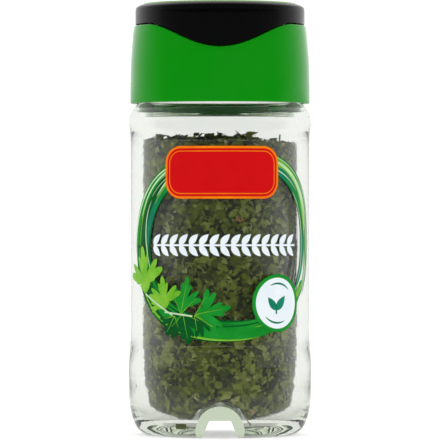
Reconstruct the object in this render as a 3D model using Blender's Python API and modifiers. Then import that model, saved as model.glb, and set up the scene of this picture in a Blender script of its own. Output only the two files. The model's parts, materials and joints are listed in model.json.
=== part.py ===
"""A glass spice jar of dried coriander leaf, closed by a screw collar with a flip lid.

Metres, +Z up. The origin is on the jar's axis, on the surface that it stands on, and the front is -Y.
The collar turns and rises on the neck's thread, and the lid swings on a pin hinge at the back of the collar.
"""

import math
import random

import bmesh
import bpy
from mathutils import Euler, Matrix, Vector

STEPS = 48  # facets round a turned piece
GAP = 0.0003  # kept between pieces that touch

# Glass jar
BODY_RADIUS = 0.0240
PANEL_RADIUS = 0.0235  # the recess that the labels lie in
PANEL_LOW, PANEL_HIGH = 0.0226, 0.0798
INSIDE_RADIUS = 0.0205
NECK_RADIUS = 0.0182
MOUTH_RADIUS = 0.0156
MOUTH_TOP = 0.0970
RIDGE_RADIUS, RIDGE_CENTRE_Z = 0.0072, 0.0022  # the floor's hump over the channel
CHANNEL_LOW_WIDTH, CHANNEL_TOP_WIDTH, CHANNEL_HEIGHT = 0.0093, 0.0056, 0.0046

# Thread: a round bead on the neck, and one half a pitch below it inside the collar
PITCH = 0.0034
THREAD_START_Z = 0.0906
NECK_BEAD_RADIUS, NECK_BEAD_TURNS = 0.0010, 1.25
COLLAR_BEAD_RADIUS, COLLAR_BEAD_TURNS = 0.00085, 1.0

# Collar and its turret
COLLAR_FOOT_Z, COLLAR_TOP_Z = 0.0870, 0.1074
SKIRT_RADIUS = 0.0198  # inside the threaded skirt
DECK_LOW_Z, DECK_TOP_Z = 0.0984, 0.0999
TURRET_RADIUS, TURRET_TOP_Z = 0.0179, 0.1055
LEDGE_RADIUS, LEDGE_TOP_Z = 0.0150, 0.1040

# The seam between collar and lid dips at the front, where the thumb lifts the lid
DIP_DEPTH = 0.0062
DIP_HALF_ANGLE = math.radians(58)

# Sifter
SIFTER_RADIUS, SIFTER_THICKNESS = 0.0162, 0.0010
SIFTER_HOLE_RADIUS, SIFTER_RING_RADIUS, SIFTER_RING_HOLES = 0.0032, 0.0102, 6

# Lid
LID_RADIUS, LID_WALL = 0.02225, 0.0014
LID_FOOT_Z = COLLAR_TOP_Z + GAP
LID_RIM_Z, LID_POCKET_Z = 0.1129, 0.1120
DISC_RADIUS, DISC_THICKNESS = 0.0201, 0.0010
SCOOP_TUBE_RADIUS, SCOOP_Z, SCOOP_DEPTH = 0.0050, 0.1087, 0.0005
SCOOP_HALF_ANGLE = math.radians(44)

# Hinge, on a line along X at the back of the collar
HINGE_Y, HINGE_Z = 0.0212, 0.1066
EAR_RADIUS, EAR_BORE = 0.0015, 0.0009
EAR_NEAR_X, EAR_FAR_X = 0.0054, 0.0080
EAR_BLOCK_HALF = 0.0012
KNUCKLE_RADIUS, KNUCKLE_HALF = 0.0013, 0.0050
STUB_RADIUS, STUB_HALF = 0.0006, 0.0076
COLLAR_NOTCH_HALF, COLLAR_NOTCH_Z = 0.0083, 0.1036
LID_NOTCH_HALF, LID_NOTCH_Z = 0.0084, 0.1090

# Labels: thin films that stand a little off the glass
LABEL_RADIUS, LABEL_THICKNESS = 0.0237, 0.0002
LABEL_LOW, LABEL_HIGH = 0.0238, 0.0770
FRONT_LABEL_ARC, BACK_LABEL_ARC = math.radians(210), math.radians(120)

# Dried leaf
FILL_CLEARANCE = 0.00035
FILL_TOP_Z = 0.0770
FILL_TILT = math.radians(1.8)  # the heap lies a little lower towards +X
LEAF_THICKNESS = 0.00025

CUTTER_REACH = 0.030  # beyond every face that a cutter passes through
CUTTER_TOP_Z = 0.1150  # above the whole closure

parts = bpy.data.collections.new("spice_jar")
cutters = bpy.data.collections.new("spice_jar_cutters")


# ---------------------------------------------------------------- materials and objects


def material(name, colour, roughness, transmission=0.0):
    """A Principled material. Its colour is linear RGB."""
    made = bpy.data.materials.new(name)
    made.use_nodes = True
    shader = made.node_tree.nodes["Principled BSDF"]
    shader.inputs["Base Color"].default_value = (*colour, 1)
    shader.inputs["Roughness"].default_value = roughness
    shader.inputs["Metallic"].default_value = 0.0
    shader.inputs["Transmission Weight"].default_value = transmission
    return made


def add_part(name, mesh, finish):
    """Links a mesh to the jar's collection as one named piece."""
    piece = bpy.data.objects.new(name, mesh)
    mesh.materials.append(finish)
    parts.objects.link(piece)
    return piece


def add_cutter(name, shape):
    """Turns a bmesh into a helper that Booleans read and renders leave out."""
    mesh = bpy.data.meshes.new(name)
    bmesh.ops.recalc_face_normals(shape, faces=shape.faces)
    shape.to_mesh(mesh)
    shape.free()
    helper = bpy.data.objects.new(name, mesh)
    helper.hide_render = True
    helper.display_type = "WIRE"
    cutters.objects.link(helper)
    return helper


def combine(piece, operation, *helpers):
    """Cuts the helpers from a piece, or joins them to it."""
    for helper in helpers:
        modifier = piece.modifiers.new(f"{operation.lower()}_{helper.name}", "BOOLEAN")
        modifier.operation = operation
        modifier.object = helper


def turned(name, outline, finish):
    """Spins an outline of (radius, height) points round Z. It runs down its outer side."""
    mesh = bpy.data.meshes.new(name)
    closed = outline[0][0] > 0
    edges = [(i, i + 1) for i in range(len(outline) - 1)]
    if closed:
        edges.append((len(outline) - 1, 0))
    mesh.from_pydata([(radius, 0, z) for radius, z in outline], edges, [])
    piece = add_part(name, mesh, finish)
    screw = piece.modifiers.new("turn", "SCREW")
    screw.steps = screw.render_steps = STEPS
    screw.use_merge_vertices = True
    screw.merge_threshold = 0.00001
    screw.use_smooth_shade = True
    return piece


# ---------------------------------------------------------------- shapes for cutters


def box(low, high):
    """A bmesh box from its lowest to its highest corner."""
    shape = bmesh.new()
    size = Vector(high) - Vector(low)
    centre = (Vector(low) + Vector(high)) / 2
    bmesh.ops.create_cube(shape, size=1, matrix=Matrix.Translation(centre) @ Matrix.Diagonal((*size, 1)))
    return shape


def rod(radius, start, end, segments=16):
    """A bmesh cylinder between two points."""
    start, end = Vector(start), Vector(end)
    turn = (end - start).to_track_quat("Z", "Y").to_matrix().to_4x4()
    shape = bmesh.new()
    bmesh.ops.create_cone(
        shape,
        cap_ends=True,
        segments=segments,
        radius1=radius,
        radius2=radius,
        depth=(end - start).length,
        matrix=Matrix.Translation((start + end) / 2) @ turn,
    )
    return shape


def dip(angle):
    """How far the seam lies below its level at this angle from the front."""
    if abs(angle) >= DIP_HALF_ANGLE:
        return 0.0
    return DIP_DEPTH / 2 * (1 + math.cos(math.pi * angle / DIP_HALF_ANGLE))


def seam_ring(name, inner, outer, seam_z, far_z, steps=96):
    """A ring of rectangular section whose face at seam_z follows the dipping seam."""
    shape = bmesh.new()
    corners = [(inner, seam_z), (outer, seam_z), (outer, far_z), (inner, far_z)]
    outline = [shape.verts.new((0, -radius, z)) for radius, z in corners]
    edges = [shape.edges.new((outline[i], outline[(i + 1) % 4])) for i in range(4)]
    bmesh.ops.spin(
        shape,
        geom=outline + edges,
        axis=(0, 0, 1),
        cent=(0, 0, 0),
        angle=2 * math.pi,
        steps=steps,
        use_merge=True,
    )
    for vertex in shape.verts:
        if abs(vertex.co.z - seam_z) < 1e-6:
            vertex.co.z -= dip(math.atan2(vertex.co.x, -vertex.co.y))
    return add_cutter(name, shape)


def bead(name, radius, thread_radius, start_z, turns, start_angle):
    """A helical bead of the thread, thinner towards its two ends, as a closed mesh."""
    points = 25
    curve = bpy.data.curves.new(name, "CURVE")
    curve.dimensions = "3D"
    curve.bevel_depth = radius
    curve.bevel_resolution = 2
    curve.use_fill_caps = True
    spline = curve.splines.new("POLY")
    spline.points.add(points - 1)
    for i, point in enumerate(spline.points):
        share = i / (points - 1)
        angle = start_angle + 2 * math.pi * turns * share
        height = start_z + PITCH * turns * share
        point.co = (thread_radius * math.cos(angle), thread_radius * math.sin(angle), height, 1)
        point.radius = min(1.0, 0.35 + 8 * min(share, 1 - share))
    tube = bpy.data.objects.new(name, curve)
    cutters.objects.link(tube)
    bpy.context.view_layer.update()
    mesh = bpy.data.meshes.new_from_object(tube.evaluated_get(bpy.context.evaluated_depsgraph_get()))
    bpy.data.objects.remove(tube)
    shape = bmesh.new()
    shape.from_mesh(mesh)
    bmesh.ops.remove_doubles(shape, verts=shape.verts, dist=0.00001)
    return add_cutter(name + "_solid", shape)


# ---------------------------------------------------------------- the jar and its contents


def floor_ridge(name, radius, half_length, flat_z):
    """The half-round hump along Y that the jar's floor makes over the channel."""
    ends = ((0, -half_length, RIDGE_CENTRE_Z), (0, half_length, RIDGE_CENTRE_Z))
    shape = rod(radius, *ends, segments=40)
    cut = bmesh.ops.bisect_plane(
        shape,
        geom=shape.verts[:] + shape.edges[:] + shape.faces[:],
        plane_co=(0, 0, flat_z),
        plane_no=(0, 0, -1),
        clear_outer=True,
    )
    rim = [item for item in cut["geom_cut"] if isinstance(item, bmesh.types.BMEdge)]
    bmesh.ops.holes_fill(shape, edges=rim)
    return add_cutter(name, shape)


def base_channel():
    """The tapered channel that runs through the base from front to back."""
    below = 0.002
    shape = box((-1, -CUTTER_REACH, -below), (1, CUTTER_REACH, CHANNEL_HEIGHT))
    slope = (CHANNEL_LOW_WIDTH - CHANNEL_TOP_WIDTH) / 2 / CHANNEL_HEIGHT
    for vertex in shape.verts:
        half_width = CHANNEL_LOW_WIDTH / 2 - slope * vertex.co.z
        vertex.co.x = math.copysign(half_width, vertex.co.x)
    return add_cutter("channel_cutter", shape)


def glass_jar(glass):
    """The thick-walled jar, with a dished floor, a label recess, a shoulder and a threaded neck."""
    outline = [
        (0, 0.0030),  # floor
        (0.0090, 0.0030),
        (0.0130, 0.0038),
        (0.0155, 0.0046),
        (0.0171, 0.0055),
        (0.0185, 0.0070),
        (0.0195, 0.0096),
        (0.0201, 0.0135),
        (INSIDE_RADIUS, 0.0200),
        (INSIDE_RADIUS, 0.0805),
        (0.0202, 0.0828),  # inside of the shoulder
        (0.0192, 0.0846),
        (0.0176, 0.0862),
        (0.0162, 0.0880),
        (MOUTH_RADIUS, 0.0898),
        (MOUTH_RADIUS, MOUTH_TOP - 0.0006),
        (MOUTH_RADIUS + 0.0006, MOUTH_TOP),
        (NECK_RADIUS - 0.0004, MOUTH_TOP),
        (NECK_RADIUS, MOUTH_TOP - 0.0006),
        (NECK_RADIUS, 0.0886),
        (0.0190, 0.0879),  # shoulder
        (0.0213, 0.0871),
        (0.02215, 0.0864),
        (0.0228, 0.0854),
        (0.0234, 0.0844),
        (0.0238, 0.0832),
        (BODY_RADIUS, 0.0822),
        (BODY_RADIUS, PANEL_HIGH + 0.0012),
        (PANEL_RADIUS, PANEL_HIGH),
        (PANEL_RADIUS, PANEL_LOW),
        (BODY_RADIUS, PANEL_LOW - 0.0016),
        (BODY_RADIUS, 0.0095),
        (0.0238, 0.0080),  # heel
        (0.02315, 0.0048),
        (0.0225, 0.0028),
        (0.0215, 0.0013),
        (0.0201, 0.0003),
        (0.0193, 0),
        (0.0155, 0),  # bearing ring, then the slight push-up
        (0.0140, 0.0004),
        (0, 0.0007),
    ]
    jar = turned("glass_jar", outline, glass)
    ridge = floor_ridge("jar_ridge", RIDGE_RADIUS, half_length=0.0200, flat_z=0.0015)
    thread = bead("neck_bead", NECK_BEAD_RADIUS, NECK_RADIUS + 0.0001, THREAD_START_Z, NECK_BEAD_TURNS, 0.0)
    combine(jar, "UNION", ridge, thread)
    combine(jar, "DIFFERENCE", base_channel())
    return jar


def fill_top(x):
    """Height of the heap's mean surface at this x."""
    return FILL_TOP_Z - x * math.tan(FILL_TILT)


def leaf_fill(dried_leaf):
    """The mass of crumbled leaf as one solid, hollowed below by the floor's ridge."""
    radius = INSIDE_RADIUS - FILL_CLEARANCE
    outline = [
        (0, 0.0800),
        (radius, 0.0800),
        (radius, 0.0201),
        (0.0197, 0.0137),
        (0.0191, 0.0099),
        (0.0181, 0.0074),
        (0.0168, 0.0060),
        (0.0153, 0.0050),
        (0.0129, 0.0042),
        (0.0090, 0.00335),
        (0, 0.00335),
    ]
    fill = turned("dried_leaf_fill", outline, dried_leaf)
    level = box((-CUTTER_REACH, -CUTTER_REACH, 0), (CUTTER_REACH, CUTTER_REACH, CUTTER_REACH))
    tilted = Matrix.Translation((0, 0, FILL_TOP_Z)) @ Matrix.Rotation(FILL_TILT, 4, "Y")
    bmesh.ops.transform(level, matrix=tilted, verts=level.verts)
    groove = floor_ridge("fill_groove", RIDGE_RADIUS + FILL_CLEARANCE, CUTTER_REACH, flat_z=0.0)
    combine(fill, "DIFFERENCE", add_cutter("fill_level", level), groove)
    return fill


def settle(shape):
    """Lowers or lifts a loose bit until it just clears the heap."""
    lift = max(fill_top(vertex.co.x) + GAP - vertex.co.z for vertex in shape.verts)
    bmesh.ops.translate(shape, verts=shape.verts, vec=(0, 0, lift))


def leaf_flake(name, place, turn, tilt, size, dried_leaf, rng):
    """One curled fragment of dried leaf on top of the heap, with a torn edge."""
    shape = bmesh.new()
    bmesh.ops.create_circle(shape, cap_ends=True, radius=size / 2, segments=9)
    for vertex in shape.verts:
        vertex.co *= rng.uniform(0.72, 1.15)
    bmesh.ops.poke(shape, faces=shape.faces)
    curl = rng.uniform(0.12, 0.22) / size
    for vertex in shape.verts:
        vertex.co.z = curl * vertex.co.x**2 + 0.4 * curl * vertex.co.y**2
    pose = Matrix.Translation((*place, 0)) @ Euler((tilt, 0, turn)).to_matrix().to_4x4()
    bmesh.ops.transform(shape, matrix=pose, verts=shape.verts)
    settle(shape)
    bmesh.ops.translate(shape, verts=shape.verts, vec=(0, 0, LEAF_THICKNESS))
    mesh = bpy.data.meshes.new(name)
    shape.to_mesh(mesh)
    shape.free()
    flake = add_part(name, mesh, dried_leaf)
    wall = flake.modifiers.new("leaf", "SOLIDIFY")
    wall.thickness = LEAF_THICKNESS
    wall.offset = 0
    return flake


def stalk_bit(name, place, turn, tilt, length, stalk):
    """One short straight bit of leaf stalk lying on the heap."""
    reach = Vector((math.cos(turn) * math.cos(tilt), math.sin(turn) * math.cos(tilt), math.sin(tilt)))
    middle = Vector((*place, 0))
    shape = rod(0.00030, middle - reach * length / 2, middle + reach * length / 2, segments=6)
    settle(shape)
    mesh = bpy.data.meshes.new(name)
    shape.to_mesh(mesh)
    shape.free()
    return add_part(name, mesh, stalk)


def loose_bits(dried_leaf, stalk):
    """The larger flakes and stalk bits that stand out on top of the heap."""
    rng = random.Random(7)
    flakes = [  # place, turn and tilt in degrees, and size
        ((-0.0152, -0.0050), 20, 38, 0.0030),
        ((-0.0105, -0.0112), 70, 30, 0.0034),
        ((-0.0060, -0.0048), 130, 35, 0.0026),
        ((-0.0012, -0.0105), -25, 42, 0.0030),
        ((0.0024, -0.0020), 160, 30, 0.0036),
        ((0.0076, -0.0085), 15, 40, 0.0046),
        ((0.0098, -0.0012), 95, 28, 0.0032),
        ((0.0140, -0.0060), -50, 36, 0.0026),
        ((-0.0110, 0.0060), 40, 22, 0.0040),
        ((-0.0010, 0.0095), 110, 26, 0.0036),
        ((0.0085, 0.0090), -20, 24, 0.0038),
    ]
    for number, (place, turn, tilt, size) in enumerate(flakes, start=1):
        name = f"leaf_flake_{number:02d}"
        leaf_flake(name, place, math.radians(turn), math.radians(tilt), size, dried_leaf, rng)
    stalks = [((0.0158, 0.0005), 80, 52, 0.0038), ((-0.0052, 0.0020), 15, 8, 0.0050)]
    for number, (place, turn, tilt, length) in enumerate(stalks, start=1):
        stalk_bit(f"stalk_bit_{number}", place, math.radians(turn), math.radians(tilt), length, stalk)


def label(name, arc, middle_angle, film):
    """A film label round part of the jar, centred on an angle from +X."""
    mesh = bpy.data.meshes.new(name)
    start = middle_angle - arc / 2
    foot = (LABEL_RADIUS * math.cos(start), LABEL_RADIUS * math.sin(start))
    mesh.from_pydata([(*foot, LABEL_HIGH), (*foot, LABEL_LOW)], [(0, 1)], [])
    sheet = add_part(name, mesh, film)
    wrap = sheet.modifiers.new("wrap", "SCREW")
    wrap.angle = arc
    wrap.steps = wrap.render_steps = round(STEPS * arc / (2 * math.pi))
    wall = sheet.modifiers.new("film", "SOLIDIFY")
    wall.thickness = LABEL_THICKNESS
    wall.offset = 1
    return sheet


# ---------------------------------------------------------------- the closure


def seal_liner(foam):
    """The foam ring that the collar presses on the jar's mouth."""
    low, high = MOUTH_TOP + GAP, DECK_LOW_Z - GAP
    outer, inner = NECK_RADIUS - 0.0002, MOUTH_RADIUS + 0.0003
    return turned("seal_liner", [(outer, high), (outer, low), (inner, low), (inner, high)], foam)


def screw_collar(green):
    """The double-walled collar: thread inside, deck and turret above, two hinge ears at the back."""
    outline = [
        (0.0224, COLLAR_TOP_Z),  # outer wall, down its slight barrel
        (0.02255, 0.1070),
        (0.0229, 0.1050),
        (0.02315, 0.1026),
        (0.0234, 0.0985),
        (0.02355, 0.0930),
        (0.0236, 0.0872),
        (0.0234, COLLAR_FOOT_Z),
        (0.0223, COLLAR_FOOT_Z),
        (0.0222, 0.0873),
        (0.0219, DECK_LOW_Z),
        (0.0212, DECK_LOW_Z),  # threaded skirt
        (0.0211, 0.0886),
        (0.0200, 0.0885),
        (SKIRT_RADIUS, 0.0888),
        (SKIRT_RADIUS, DECK_LOW_Z),
        (LEDGE_RADIUS + 0.0015, DECK_LOW_Z),  # deck, and up the inside of the turret
        (LEDGE_RADIUS + 0.0015, 0.1027),
        (LEDGE_RADIUS, 0.1029),
        (LEDGE_RADIUS, LEDGE_TOP_Z),
        (LEDGE_RADIUS + 0.0015, LEDGE_TOP_Z),
        (LEDGE_RADIUS + 0.0015, TURRET_TOP_Z),
        (TURRET_RADIUS, TURRET_TOP_Z),
        (TURRET_RADIUS, DECK_TOP_Z),
        (0.0214, DECK_TOP_Z),
        (0.0210, COLLAR_TOP_Z),
    ]
    collar = turned("screw_collar", outline, green)
    above_seam = seam_ring("above_seam", 0.0195, 0.0250, COLLAR_TOP_Z, CUTTER_TOP_Z)
    notch = add_cutter(
        "collar_notch",
        box((-COLLAR_NOTCH_HALF, 0.0193, COLLAR_NOTCH_Z), (COLLAR_NOTCH_HALF, CUTTER_REACH, CUTTER_TOP_Z)),
    )
    thread_z = THREAD_START_Z - PITCH / 2 + PITCH / 4
    thread_radius = SKIRT_RADIUS + 0.0002
    thread = bead("collar_bead", COLLAR_BEAD_RADIUS, thread_radius, thread_z, COLLAR_BEAD_TURNS, math.pi / 2)
    combine(collar, "DIFFERENCE", above_seam, notch)
    combine(collar, "UNION", thread)
    for side in (-1, 1):
        near, far = sorted((side * EAR_NEAR_X, side * EAR_FAR_X))
        foot_z = COLLAR_NOTCH_Z - EAR_BLOCK_HALF
        block = box((near, HINGE_Y - EAR_BLOCK_HALF, foot_z), (far, HINGE_Y + EAR_BLOCK_HALF, HINGE_Z))
        barrel = rod(EAR_RADIUS, (near, HINGE_Y, HINGE_Z), (far, HINGE_Y, HINGE_Z), segments=24)
        side_name = "left" if side < 0 else "right"
        combine(
            collar,
            "UNION",
            add_cutter(f"ear_block_{side_name}", block),
            add_cutter(f"ear_barrel_{side_name}", barrel),
        )
    bore = rod(EAR_BORE, (-0.0120, HINGE_Y, HINGE_Z), (0.0120, HINGE_Y, HINGE_Z), segments=16)
    combine(collar, "DIFFERENCE", add_cutter("ear_bore", bore))
    return collar


def sifter(green):
    """The disc with pouring holes that drops on the turret's ledge."""
    low = LEDGE_TOP_Z + GAP
    high = low + SIFTER_THICKNESS
    disc = turned("sifter", [(0, high), (SIFTER_RADIUS, high), (SIFTER_RADIUS, low), (0, low)], green)
    centres = [(0.0, 0.0)]
    for i in range(SIFTER_RING_HOLES):
        angle = 2 * math.pi * (i + 0.5) / SIFTER_RING_HOLES
        centres.append((SIFTER_RING_RADIUS * math.cos(angle), SIFTER_RING_RADIUS * math.sin(angle)))
    for i, centre in enumerate(centres):
        hole = rod(SIFTER_HOLE_RADIUS, (*centre, low - 0.002), (*centre, high + 0.002), segments=24)
        combine(disc, "DIFFERENCE", add_cutter(f"sifter_hole_{i}", hole))
    return disc


def thumb_scoop():
    """The ring that hollows the lid's front wall under its rim, to give the thumb a lip."""
    back = SCOOP_DEPTH / (1 - math.cos(SCOOP_HALF_ANGLE))
    shape = bmesh.new()
    bmesh.ops.create_circle(shape, cap_ends=False, radius=SCOOP_TUBE_RADIUS, segments=24)
    ring_radius = LID_RADIUS - SCOOP_DEPTH + back + SCOOP_TUBE_RADIUS
    upright = Matrix.Translation((0, -ring_radius, 0)) @ Matrix.Rotation(math.pi / 2, 4, "Y")
    bmesh.ops.transform(shape, matrix=upright, verts=shape.verts)
    bmesh.ops.spin(
        shape,
        geom=shape.verts[:] + shape.edges[:],
        axis=(0, 0, 1),
        cent=(0, 0, 0),
        angle=2 * math.pi,
        steps=72,
        use_merge=True,
    )
    bmesh.ops.translate(shape, verts=shape.verts, vec=(0, back, SCOOP_Z))
    return add_cutter("thumb_scoop", shape)


def flip_lid(black):
    """The lid: a cap with a dipping front edge, a seal ring inside and a hinge knuckle at the back."""
    inside = LID_RADIUS - LID_WALL
    lowest = LID_FOOT_Z - DIP_DEPTH - 0.0010
    outline = [
        (0, LID_POCKET_Z),  # the pocket that the top disc lies in
        (DISC_RADIUS + GAP, LID_POCKET_Z),
        (DISC_RADIUS + GAP, LID_RIM_Z),
        (0.0207, LID_RIM_Z),
        (0.0219, 0.1123),
        (LID_RADIUS, 0.1117),
        (LID_RADIUS, lowest),
        (inside, lowest),
        (inside, 0.1106),
        (0.0175, 0.1106),  # seal ring over the turret's rim
        (0.0175, TURRET_TOP_Z + GAP),
        (0.0163, TURRET_TOP_Z + GAP),
        (0.0163, 0.1106),
        (0, 0.1106),
    ]
    lid = turned("flip_lid", outline, black)
    below_seam = seam_ring("below_seam", 0.0195, 0.0250, LID_FOOT_Z, 0.0960)
    notch = add_cutter(
        "lid_notch",
        box((-LID_NOTCH_HALF, 0.0180, 0.0960), (LID_NOTCH_HALF, CUTTER_REACH, LID_NOTCH_Z)),
    )
    combine(lid, "DIFFERENCE", below_seam, notch, thumb_scoop())
    web = box((-0.0048, HINGE_Y - 0.0003, HINGE_Z), (0.0048, HINGE_Y + 0.0010, 0.1100))
    knuckle_start, knuckle_end = (-KNUCKLE_HALF, HINGE_Y, HINGE_Z), (KNUCKLE_HALF, HINGE_Y, HINGE_Z)
    knuckle = rod(KNUCKLE_RADIUS, knuckle_start, knuckle_end, segments=24)
    stubs = rod(STUB_RADIUS, (-STUB_HALF, HINGE_Y, HINGE_Z), (STUB_HALF, HINGE_Y, HINGE_Z), segments=16)
    combine(
        lid,
        "UNION",
        add_cutter("lid_web", web),
        add_cutter("lid_knuckle", knuckle),
        add_cutter("lid_stubs", stubs),
    )
    return lid


def lid_disc(green):
    """The coloured disc set in the lid's top, a little proud of the rim."""
    low = LID_POCKET_Z + GAP
    high = low + DISC_THICKNESS
    edge = 0.0002
    rim = [(DISC_RADIUS - edge, high), (DISC_RADIUS, high - edge), (DISC_RADIUS, low)]
    outline = [(0, high), *rim, (0, low)]
    return turned("lid_disc", outline, green)


def hang_on_hinge(*pieces):
    """Parents the lid's pieces to an empty on the hinge line, where they lie."""
    line = Vector((0, HINGE_Y, HINGE_Z))
    hinge = bpy.data.objects.new("lid_hinge_line", None)
    hinge.location = line
    parts.objects.link(hinge)
    for piece in pieces:
        piece.parent = hinge
        piece.location = -line


def main():
    """Clears the scene, then builds the jar from the glass up."""
    for old in list(bpy.data.objects):
        bpy.data.objects.remove(old)
    bpy.context.scene.collection.children.link(parts)
    bpy.context.scene.collection.children.link(cutters)

    glass = material("clear_glass", (0.93, 0.96, 0.94), 0.03, transmission=1.0)
    green = material("green_plastic", (0.01, 0.26, 0.012), 0.32)
    black = material("black_plastic", (0.008, 0.008, 0.009), 0.36)
    disc_green = material("disc_green", (0.16, 0.45, 0.08), 0.40)
    clear_film = material("clear_film", (0.90, 0.93, 0.90), 0.10, transmission=1.0)
    back_film = material("back_film", (0.86, 0.88, 0.84), 0.35)
    foam = material("liner_foam", (0.80, 0.80, 0.78), 0.85)
    dried_leaf = material("dried_leaf", (0.085, 0.105, 0.030), 0.85)
    stalk = material("dried_stalk", (0.30, 0.28, 0.12), 0.80)

    glass_jar(glass)
    leaf_fill(dried_leaf)
    loose_bits(dried_leaf, stalk)
    label("front_label", FRONT_LABEL_ARC, -math.pi / 2, clear_film)
    label("back_label", BACK_LABEL_ARC, math.pi / 2, back_film)
    seal_liner(foam)
    screw_collar(green)
    sifter(green)
    hang_on_hinge(flip_lid(black), lid_disc(disc_green))


main()
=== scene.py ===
"""Looks of a round glass spice jar of dried coriander leaf, closed by a screw collar with a flip lid.

Metres, +Z up, front towards -Y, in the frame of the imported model. Each sub-assembly is a class that builds
its own meshes and dresses them; each finish is a small class that makes one material.
"""

from __future__ import annotations

import json
import logging
import math
import random
from collections.abc import Callable, Iterable, Sequence
from dataclasses import dataclass
from enum import Enum
from itertools import pairwise
from typing import NamedTuple

import bmesh
import bpy
from bmesh.types import BMesh
from mathutils import Euler, Matrix, Vector, noise

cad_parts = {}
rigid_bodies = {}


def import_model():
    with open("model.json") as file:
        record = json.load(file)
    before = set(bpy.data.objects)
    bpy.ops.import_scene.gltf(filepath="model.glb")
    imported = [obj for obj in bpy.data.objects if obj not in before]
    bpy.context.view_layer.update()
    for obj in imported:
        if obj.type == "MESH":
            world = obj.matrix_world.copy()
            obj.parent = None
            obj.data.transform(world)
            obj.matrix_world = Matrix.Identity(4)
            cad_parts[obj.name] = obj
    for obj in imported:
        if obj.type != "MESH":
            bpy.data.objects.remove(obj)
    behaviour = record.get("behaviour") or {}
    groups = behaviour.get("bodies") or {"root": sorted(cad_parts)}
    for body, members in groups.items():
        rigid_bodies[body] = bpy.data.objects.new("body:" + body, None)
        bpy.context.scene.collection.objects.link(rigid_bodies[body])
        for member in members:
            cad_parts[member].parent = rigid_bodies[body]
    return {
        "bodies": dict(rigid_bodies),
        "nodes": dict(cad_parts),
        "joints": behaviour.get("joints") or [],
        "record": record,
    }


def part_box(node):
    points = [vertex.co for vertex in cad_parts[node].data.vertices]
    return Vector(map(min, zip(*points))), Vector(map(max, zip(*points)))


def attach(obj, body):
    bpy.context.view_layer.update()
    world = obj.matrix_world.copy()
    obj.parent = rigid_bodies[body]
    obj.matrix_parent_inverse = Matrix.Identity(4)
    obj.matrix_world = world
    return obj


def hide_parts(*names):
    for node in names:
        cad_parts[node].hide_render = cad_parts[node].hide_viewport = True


log = logging.getLogger("spice_jar")

FULL_TURN = 2 * math.pi
WELD = 1e-6  # points closer than this are one point
Colour = tuple[float, float, float]


class Body(Enum):
    """The rigid bodies that pieces ride on."""

    JAR = "jar"
    LINER = "liner"
    CAP = "cap"
    LID = "lid"


class Slot(Enum):
    """The record's material slots."""

    GLASS = "clear_glass"
    FILM = "clear_film"
    BACK_FILM = "back_film"
    LEAF = "dried_leaf"
    STALK = "dried_stalk"
    FOAM = "liner_foam"
    GREEN = "green_plastic"
    BLACK = "black_plastic"
    DISC = "disc_green"


class Join(Enum):
    """How two closed shapes are combined."""

    ADD = "UNION"
    CUT = "DIFFERENCE"


# ---------------------------------------------------------------- shapes


class Corner(NamedTuple):
    """A corner of a turned outline."""

    r: float  # distance from the axis
    z: float
    soft: float = 0.0  # how far its rounding reaches along each side


def ramp(low: float, high: float, value: float) -> float:
    """Rises smoothly from 0 at low to 1 at high."""
    share = min(max((value - low) / (high - low), 0.0), 1.0)
    return share * share * (3 - 2 * share)


def front_angle(point: Vector) -> float:
    """Angle of a point round the jar's axis, 0 at the front and positive towards +X."""
    return math.atan2(point.x, -point.y)


def linear(red: int, green: int, blue: int) -> Colour:
    """Turns a colour as a screen shows it, 0 to 255, into linear light."""
    shown = (channel / 255 for channel in (red, green, blue))
    return tuple(v / 12.92 if v <= 0.04045 else ((v + 0.055) / 1.055) ** 2.4 for v in shown)


def tidied(shape: BMesh) -> BMesh:
    """Welds a shape's doubles and turns its faces outwards.

    Args:
        shape: A closed shape.

    Returns:
        The same shape.
    """
    bmesh.ops.remove_doubles(shape, verts=shape.verts, dist=WELD)
    bmesh.ops.recalc_face_normals(shape, faces=shape.faces)
    return shape


def turned(corners: Sequence[Corner], steps: int, closed: bool = False, rounding: int = 6) -> BMesh:
    """Spins an outline round Z.

    Args:
        corners: The outline, from the axis or round a loop.
        steps: Facets round the piece.
        closed: Whether the last corner joins the first.
        rounding: Segments in each rounded corner.

    Returns:
        The closed shape.
    """
    shape = bmesh.new()
    points = [shape.verts.new((corner.r, 0, corner.z)) for corner in corners]
    for start, end in pairwise(points):
        shape.edges.new((start, end))
    if closed:
        shape.edges.new((points[-1], points[0]))
    for soft in sorted({corner.soft for corner in corners} - {0.0}):
        rounded = [point for point, corner in zip(points, corners) if corner.soft == soft]
        bmesh.ops.bevel(
            shape,
            geom=rounded,
            offset=soft,
            offset_type="OFFSET",
            segments=rounding,
            profile=0.5,
            affect="VERTICES",
            material=-1,
        )
    bmesh.ops.spin(
        shape,
        geom=shape.verts[:] + shape.edges[:],
        axis=(0, 0, 1),
        cent=(0, 0, 0),
        angle=FULL_TURN,
        steps=steps,
        use_merge=True,
    )
    return tidied(shape)


def rod(radius: float, start: Vector, end: Vector, segments: int) -> BMesh:
    """A capped cylinder between two points.

    Args:
        radius: Its radius.
        start: The middle of one end.
        end: The middle of the other end.
        segments: Facets round it.

    Returns:
        The closed shape.
    """
    axis = end - start
    shape = bmesh.new()
    bmesh.ops.create_cone(
        shape,
        cap_ends=True,
        segments=segments,
        radius1=radius,
        radius2=radius,
        depth=axis.length,
        matrix=Matrix.Translation((start + end) / 2) @ axis.to_track_quat("Z", "Y").to_matrix().to_4x4(),
    )
    return shape


def block(low: Sequence[float], high: Sequence[float]) -> BMesh:
    """A box.

    Args:
        low: Its lowest corner.
        high: Its highest corner.

    Returns:
        The closed shape.
    """
    low, high = Vector(low), Vector(high)
    shape = bmesh.new()
    place = Matrix.Translation((low + high) / 2) @ Matrix.Diagonal((*(high - low), 1))
    bmesh.ops.create_cube(shape, size=1, matrix=place)
    return shape


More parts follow.
